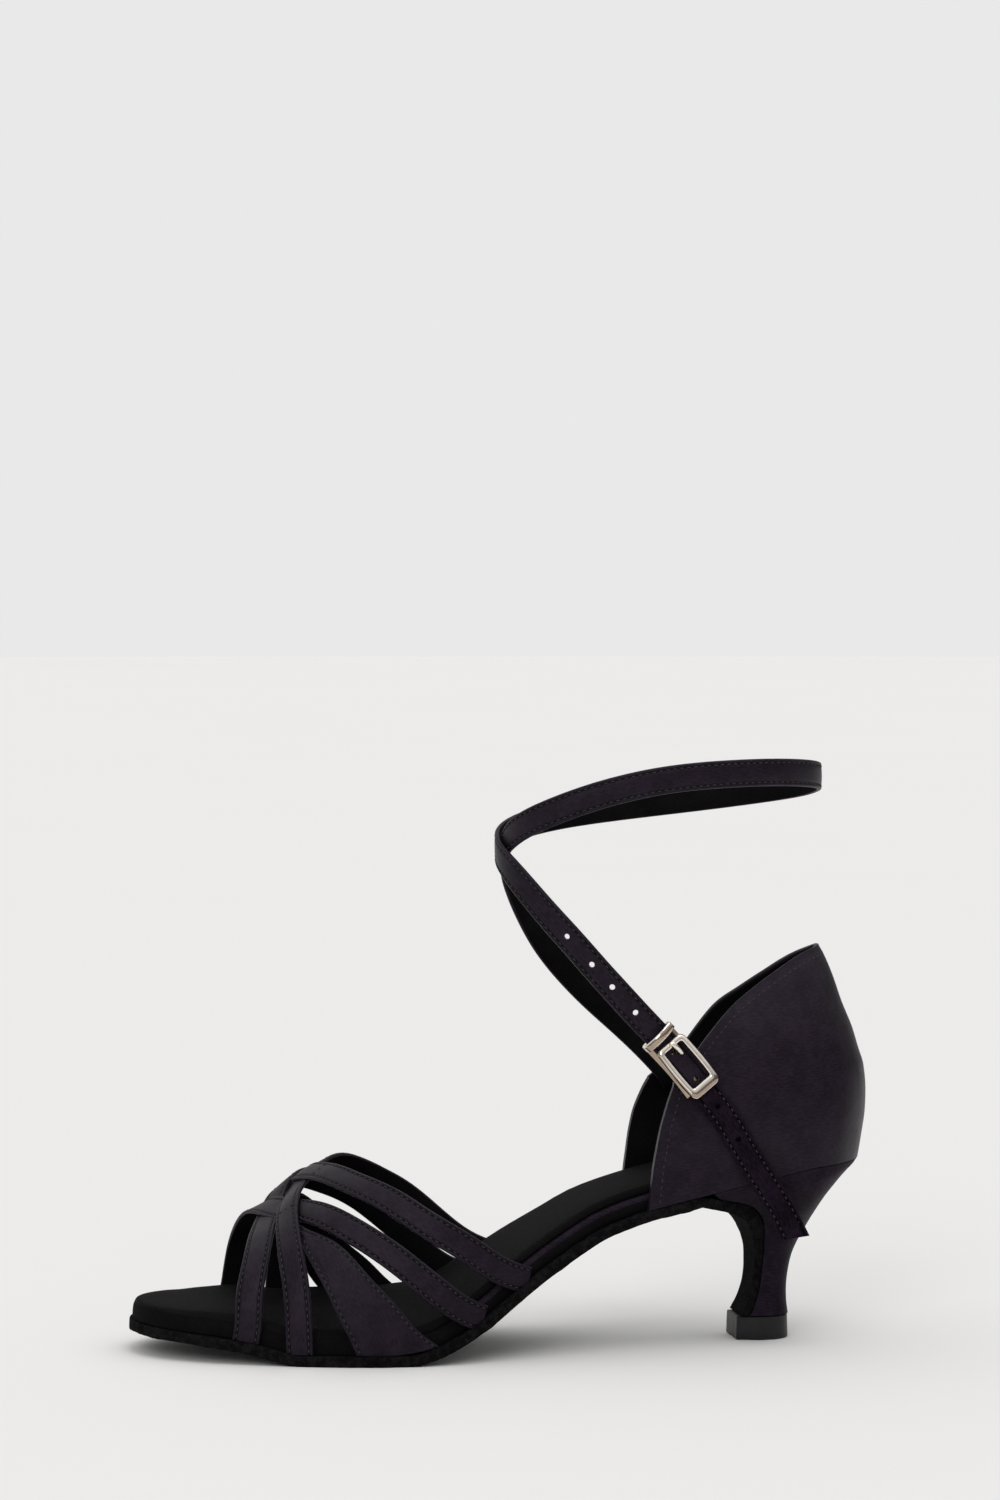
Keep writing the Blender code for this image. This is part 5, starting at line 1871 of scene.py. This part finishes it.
class SHOE_OT_buckle(bpy.types.Operator):
    """Build the polished frame, its prong and the keeper"""

    bl_idname = "dance_shoe.buckle"
    bl_label = "Buckle"

    def execute(self, context):
        route = AnkleRoute()
        middle, run, across, out = route.place(0.0)
        base = STRAP_THICKNESS / 2 + BUCKLE_ROOM * GAP
        outlines = []
        for share, level in FRAME_PROFILE:
            inner = BUCKLE_LENGTH - FRONT_BAR - BACK_BAR
            length = mix(BUCKLE_LENGTH, inner, share)
            shift = share * (FRONT_BAR - BACK_BAR) / 2
            width = BUCKLE_WIDTH - 2.0 * share * SIDE_BAR
            radius = mix(BUCKLE_CORNER, INNER_CORNER * BUCKLE_CORNER, share)
            outline = []
            for spot in rounded_rectangle(length, width, radius):
                along = spot.x + shift
                reach = 2.0 * along / BUCKLE_LENGTH
                side = spot.y * (SIDE_BULGE[0] + SIDE_BULGE[1] * (1.0 - reach * reach))
                fall = FRAME_DROOP * BUCKLE_DEPTH * max(reach, 0.0) ** 3 * level
                height = base + BUCKLE_DEPTH * level - fall
                outline.append(middle + run * along + across * side + out * height)
            outlines.append(outline)
        outline = rounded_rectangle(BUCKLE_LENGTH, BUCKLE_WIDTH, BUCKLE_CORNER)
        rear = [spot.x > (BUCKLE_LENGTH - BACK_BAR) / 2 for spot in outline]

        def tone(i, j):
            # The outward slopes, and on the rear bar its listed faces, take the darker plating as
            # painted shade
            painted_light = REAR_SLOPE <= j < len(FRAME_PROFILE) - 2 if rear[i] else j in OUTER_FACES
            return 1 if painted_light else 0

        rings = list(zip(*outlines))
        pieces = [skin("buckle_frame_metal", rings, METAL, joined=True, tone=tone, sharp=70.0)]
        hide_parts("buckle_frame")
        pieces.append(self.build_prong(route, base))
        pieces += self.build_keeper(route)
        return {"FINISHED"}

    def build_prong(self, route, base):
        """Rounded tongue over the frame's front bar and down into the strap's hole."""
        middle, run, across, out = route.place(0.0)
        radius = PRONG_DIAMETER / 2
        low, high = base + radius, base + radius + BUCKLE_DEPTH + GAP
        rings = []
        for bars, rise, size in PRONG_ROWS:
            reach = bars * BUCKLE_BAR
            centre = middle + run * (reach - BUCKLE_LENGTH / 2) + out * mix(low, high, rise)
            centre -= across * (PRONG_LEAN * reach)
            half = radius * size
            rings.append(oval(centre, across * 1.1 * half, out * 0.9 * half, PRONG_SIDES, 0.5))
        prong = skin("buckle_prong_metal", rings, METAL, sharp=75.0)
        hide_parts("buckle_prong")
        return prong

    def build_keeper(self, route):
        """Metal loop over the strap, and the thin plate under it and the buckle."""
        half = STRAP_THICKNESS / 2
        place = -BUCKLE_LENGTH / 2 - KEEPER_SETBACK
        inside = STRAP_WIDTH / 2 + 2.0 * GAP
        top, bottom = half + 2.0 * GAP, -half - GAP
        loops = []
        for grow in (0.0, 0.5, 1.0):
            wall = grow * PLATE_THICKNESS
            wide, high, low = inside + wall, top + wall, bottom - wall
            corner = PLATE_THICKNESS + 0.6 * wall
            right = [(wide, low), (wide, mix(low, high - corner, 0.5))]
            for inward, up in corner_steps(4):
                right.append((wide - corner * inward, high - corner + corner * up))
            right.append((0.5 * (wide - corner), high + 1.5 * KEEPER_CROWN))
            left = [(-v, h) for v, h in reversed(right)]
            loops.append([(0.0, low)] + right + [(0.0, high + 2.0 * KEEPER_CROWN)] + left)
        rings = []
        for corners in zip(*loops):
            ring = [(place + share * KEEPER_WIDTH, *corners[index]) for share, index in KEEPER_EDGES]
            rings.append([route.spot(*spot) for spot in ring])

        def tone(i, j):
            # The keeper's outer face takes the darker plating as painted shade
            return 1 if j == 2 else 0

        keeper = skin("keeper_metal", rings, METAL, joined=True, tone=tone, sharp=60.0)
        wide = inside + 0.5 * PLATE_THICKNESS
        rings = []
        for along in steps(place, BUCKLE_LENGTH / 2 - BUCKLE_BAR, 16):
            edges = [(side * wide, bottom - depth * PLATE_THICKNESS) for side, depth in PLATE_EDGES]
            rings.append([route.spot(along, *edge) for edge in edges])
        # The plate under the strap and the buckle takes the darker plating all over, as painted shade
        plate = skin("keeper_plate_metal", rings, METAL[1:], sharp=60.0)
        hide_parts("buckle_keeper")
        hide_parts("buckle_keeper")
        return [keeper, plate]


class SHOE_OT_studio(bpy.types.Operator):
    """Lay the pale floor, hang the soft lights and set up the camera"""

    bl_idname = "dance_shoe.studio"
    bl_label = "Studio"

    def execute(self, context):
        look = context.scene.shoe_studio
        self.build_floor(look)
        self.build_world(look)
        self.build_lights(look)
        self.build_camera(look)
        return {"FINISHED"}

    def build_floor(self, look):
        """Wide round floor of pale board."""
        mesh_data = bmesh.new()
        bmesh.ops.create_circle(mesh_data, cap_ends=True, segments=64, radius=FLOOR_RADIUS)
        board = linked("studio_floor", mesh_data)
        board.data.materials.append(floor_finish(look))

    def build_world(self, look):
        """Even pale backdrop, and soft light that is dimmer from the front."""
        scene = bpy.context.scene
        scene.view_settings.view_transform = "Standard"
        scene.world = scene.world or bpy.data.worlds.new("studio")
        scene.world.use_nodes = True
        nodes = Nodes(scene.world.node_tree)
        around = nodes.node("ShaderNodeTexCoord", output="Generated")
        parts = nodes.node("ShaderNodeSeparateXYZ", inputs={0: around})
        behind = nodes.eased(parts.output("Y"), -0.75, 0.25, look.front_light, look.surround)
        beside = nodes.eased(parts, 0.15, 0.85, behind, look.side_light)
        light = nodes.eased(parts.output("Z"), 0.0, 0.95, beside, look.sky)
        white = (1.0, 1.0, 1.0, 1.0)
        lit, plain = [
            nodes.node("ShaderNodeBackground", inputs={"Color": white, "Strength": strength})
            for strength in (light, look.backdrop)
        ]
        seen = nodes.node("ShaderNodeLightPath", output="Is Camera Ray")
        either = nodes.node("ShaderNodeMixShader", inputs={0: seen, 1: lit, 2: plain})
        nodes.feed(nodes.tree.nodes["World Output"].inputs["Surface"], either)

    def build_lights(self, look):
        """A broad key light, a soft lamp from the front and a faint rim light."""
        for name, spread, place in LAMPS:
            data = bpy.data.lights.new(name + "_light", "SUN")
            data.angle = math.radians(spread)
            data.energy = getattr(look, name + "_power")
            lamp = bpy.data.objects.new(name + "_light", data)
            lamp.location = place
            lamp.rotation_euler = (-Vector(place)).to_track_quat("-Z", "Y").to_euler()
            bpy.context.scene.collection.objects.link(lamp)

    def build_camera(self, look):
        """Camera at the photograph's angle."""
        scene = bpy.context.scene
        data = bpy.data.cameras.new("camera")
        data.sensor_width = SENSOR_WIDTH
        data.lens = look.focal_length
        data.clip_start = 0.05
        data.clip_end = 50.0
        camera = bpy.data.objects.new("camera", data)
        level = math.cos(look.tilt)
        ahead = math.sin(look.turn) * level, math.cos(look.turn) * level
        forward = Vector((*ahead, -math.sin(look.tilt)))
        camera.location = Vector(look.aim) - forward * look.distance
        camera.rotation_euler = forward.to_track_quat("-Z", "Y").to_euler()
        scene.collection.objects.link(camera)
        scene.camera = camera


STEPS = (
    SHOE_OT_finishes,
    SHOE_OT_sole,
    SHOE_OT_vamp,
    SHOE_OT_counter,
    SHOE_OT_heel,
    SHOE_OT_ankle_strap,
    SHOE_OT_buckle,
    SHOE_OT_studio,
)
LOOKS = {
    "shoe_satin": SatinLook,
    "shoe_leather": LeatherLook,
    "shoe_suede": SuedeLook,
    "shoe_metal": MetalLook,
    "shoe_studio": StudioSetup,
}


class SHOE_PT_panel(bpy.types.Panel):
    """Steps and settings of the dance shoe"""

    bl_idname = "SHOE_PT_panel"
    bl_label = "Dance Shoe"
    bl_space_type = "VIEW_3D"
    bl_region_type = "UI"
    bl_category = "Dance Shoe"

    def draw(self, context):
        layout = self.layout
        for step in STEPS:
            layout.operator(step.bl_idname)
        for name, look in LOOKS.items():
            box = layout.box()
            settings = getattr(context.scene, name)
            for key in look.__annotations__:
                box.prop(settings, key)


def register():
    """Register the settings, the steps and the panel."""
    for name, look in LOOKS.items():
        bpy.utils.register_class(look)
        setattr(bpy.types.Scene, name, PointerProperty(type=look))
    for step in STEPS:
        bpy.utils.register_class(step)
    bpy.utils.register_class(SHOE_PT_panel)


def unregister():
    """Take the panel, the steps and the settings away again."""
    bpy.utils.unregister_class(SHOE_PT_panel)
    for step in reversed(STEPS):
        bpy.utils.unregister_class(step)
    for name, look in LOOKS.items():
        delattr(bpy.types.Scene, name)
        bpy.utils.unregister_class(look)


def main():
    """Dress the shoe and set the stage."""
    register()
    for step in STEPS:
        group, action = step.bl_idname.split(".")
        getattr(getattr(bpy.ops, group), action)()


if __name__ == "__main__":
    main()
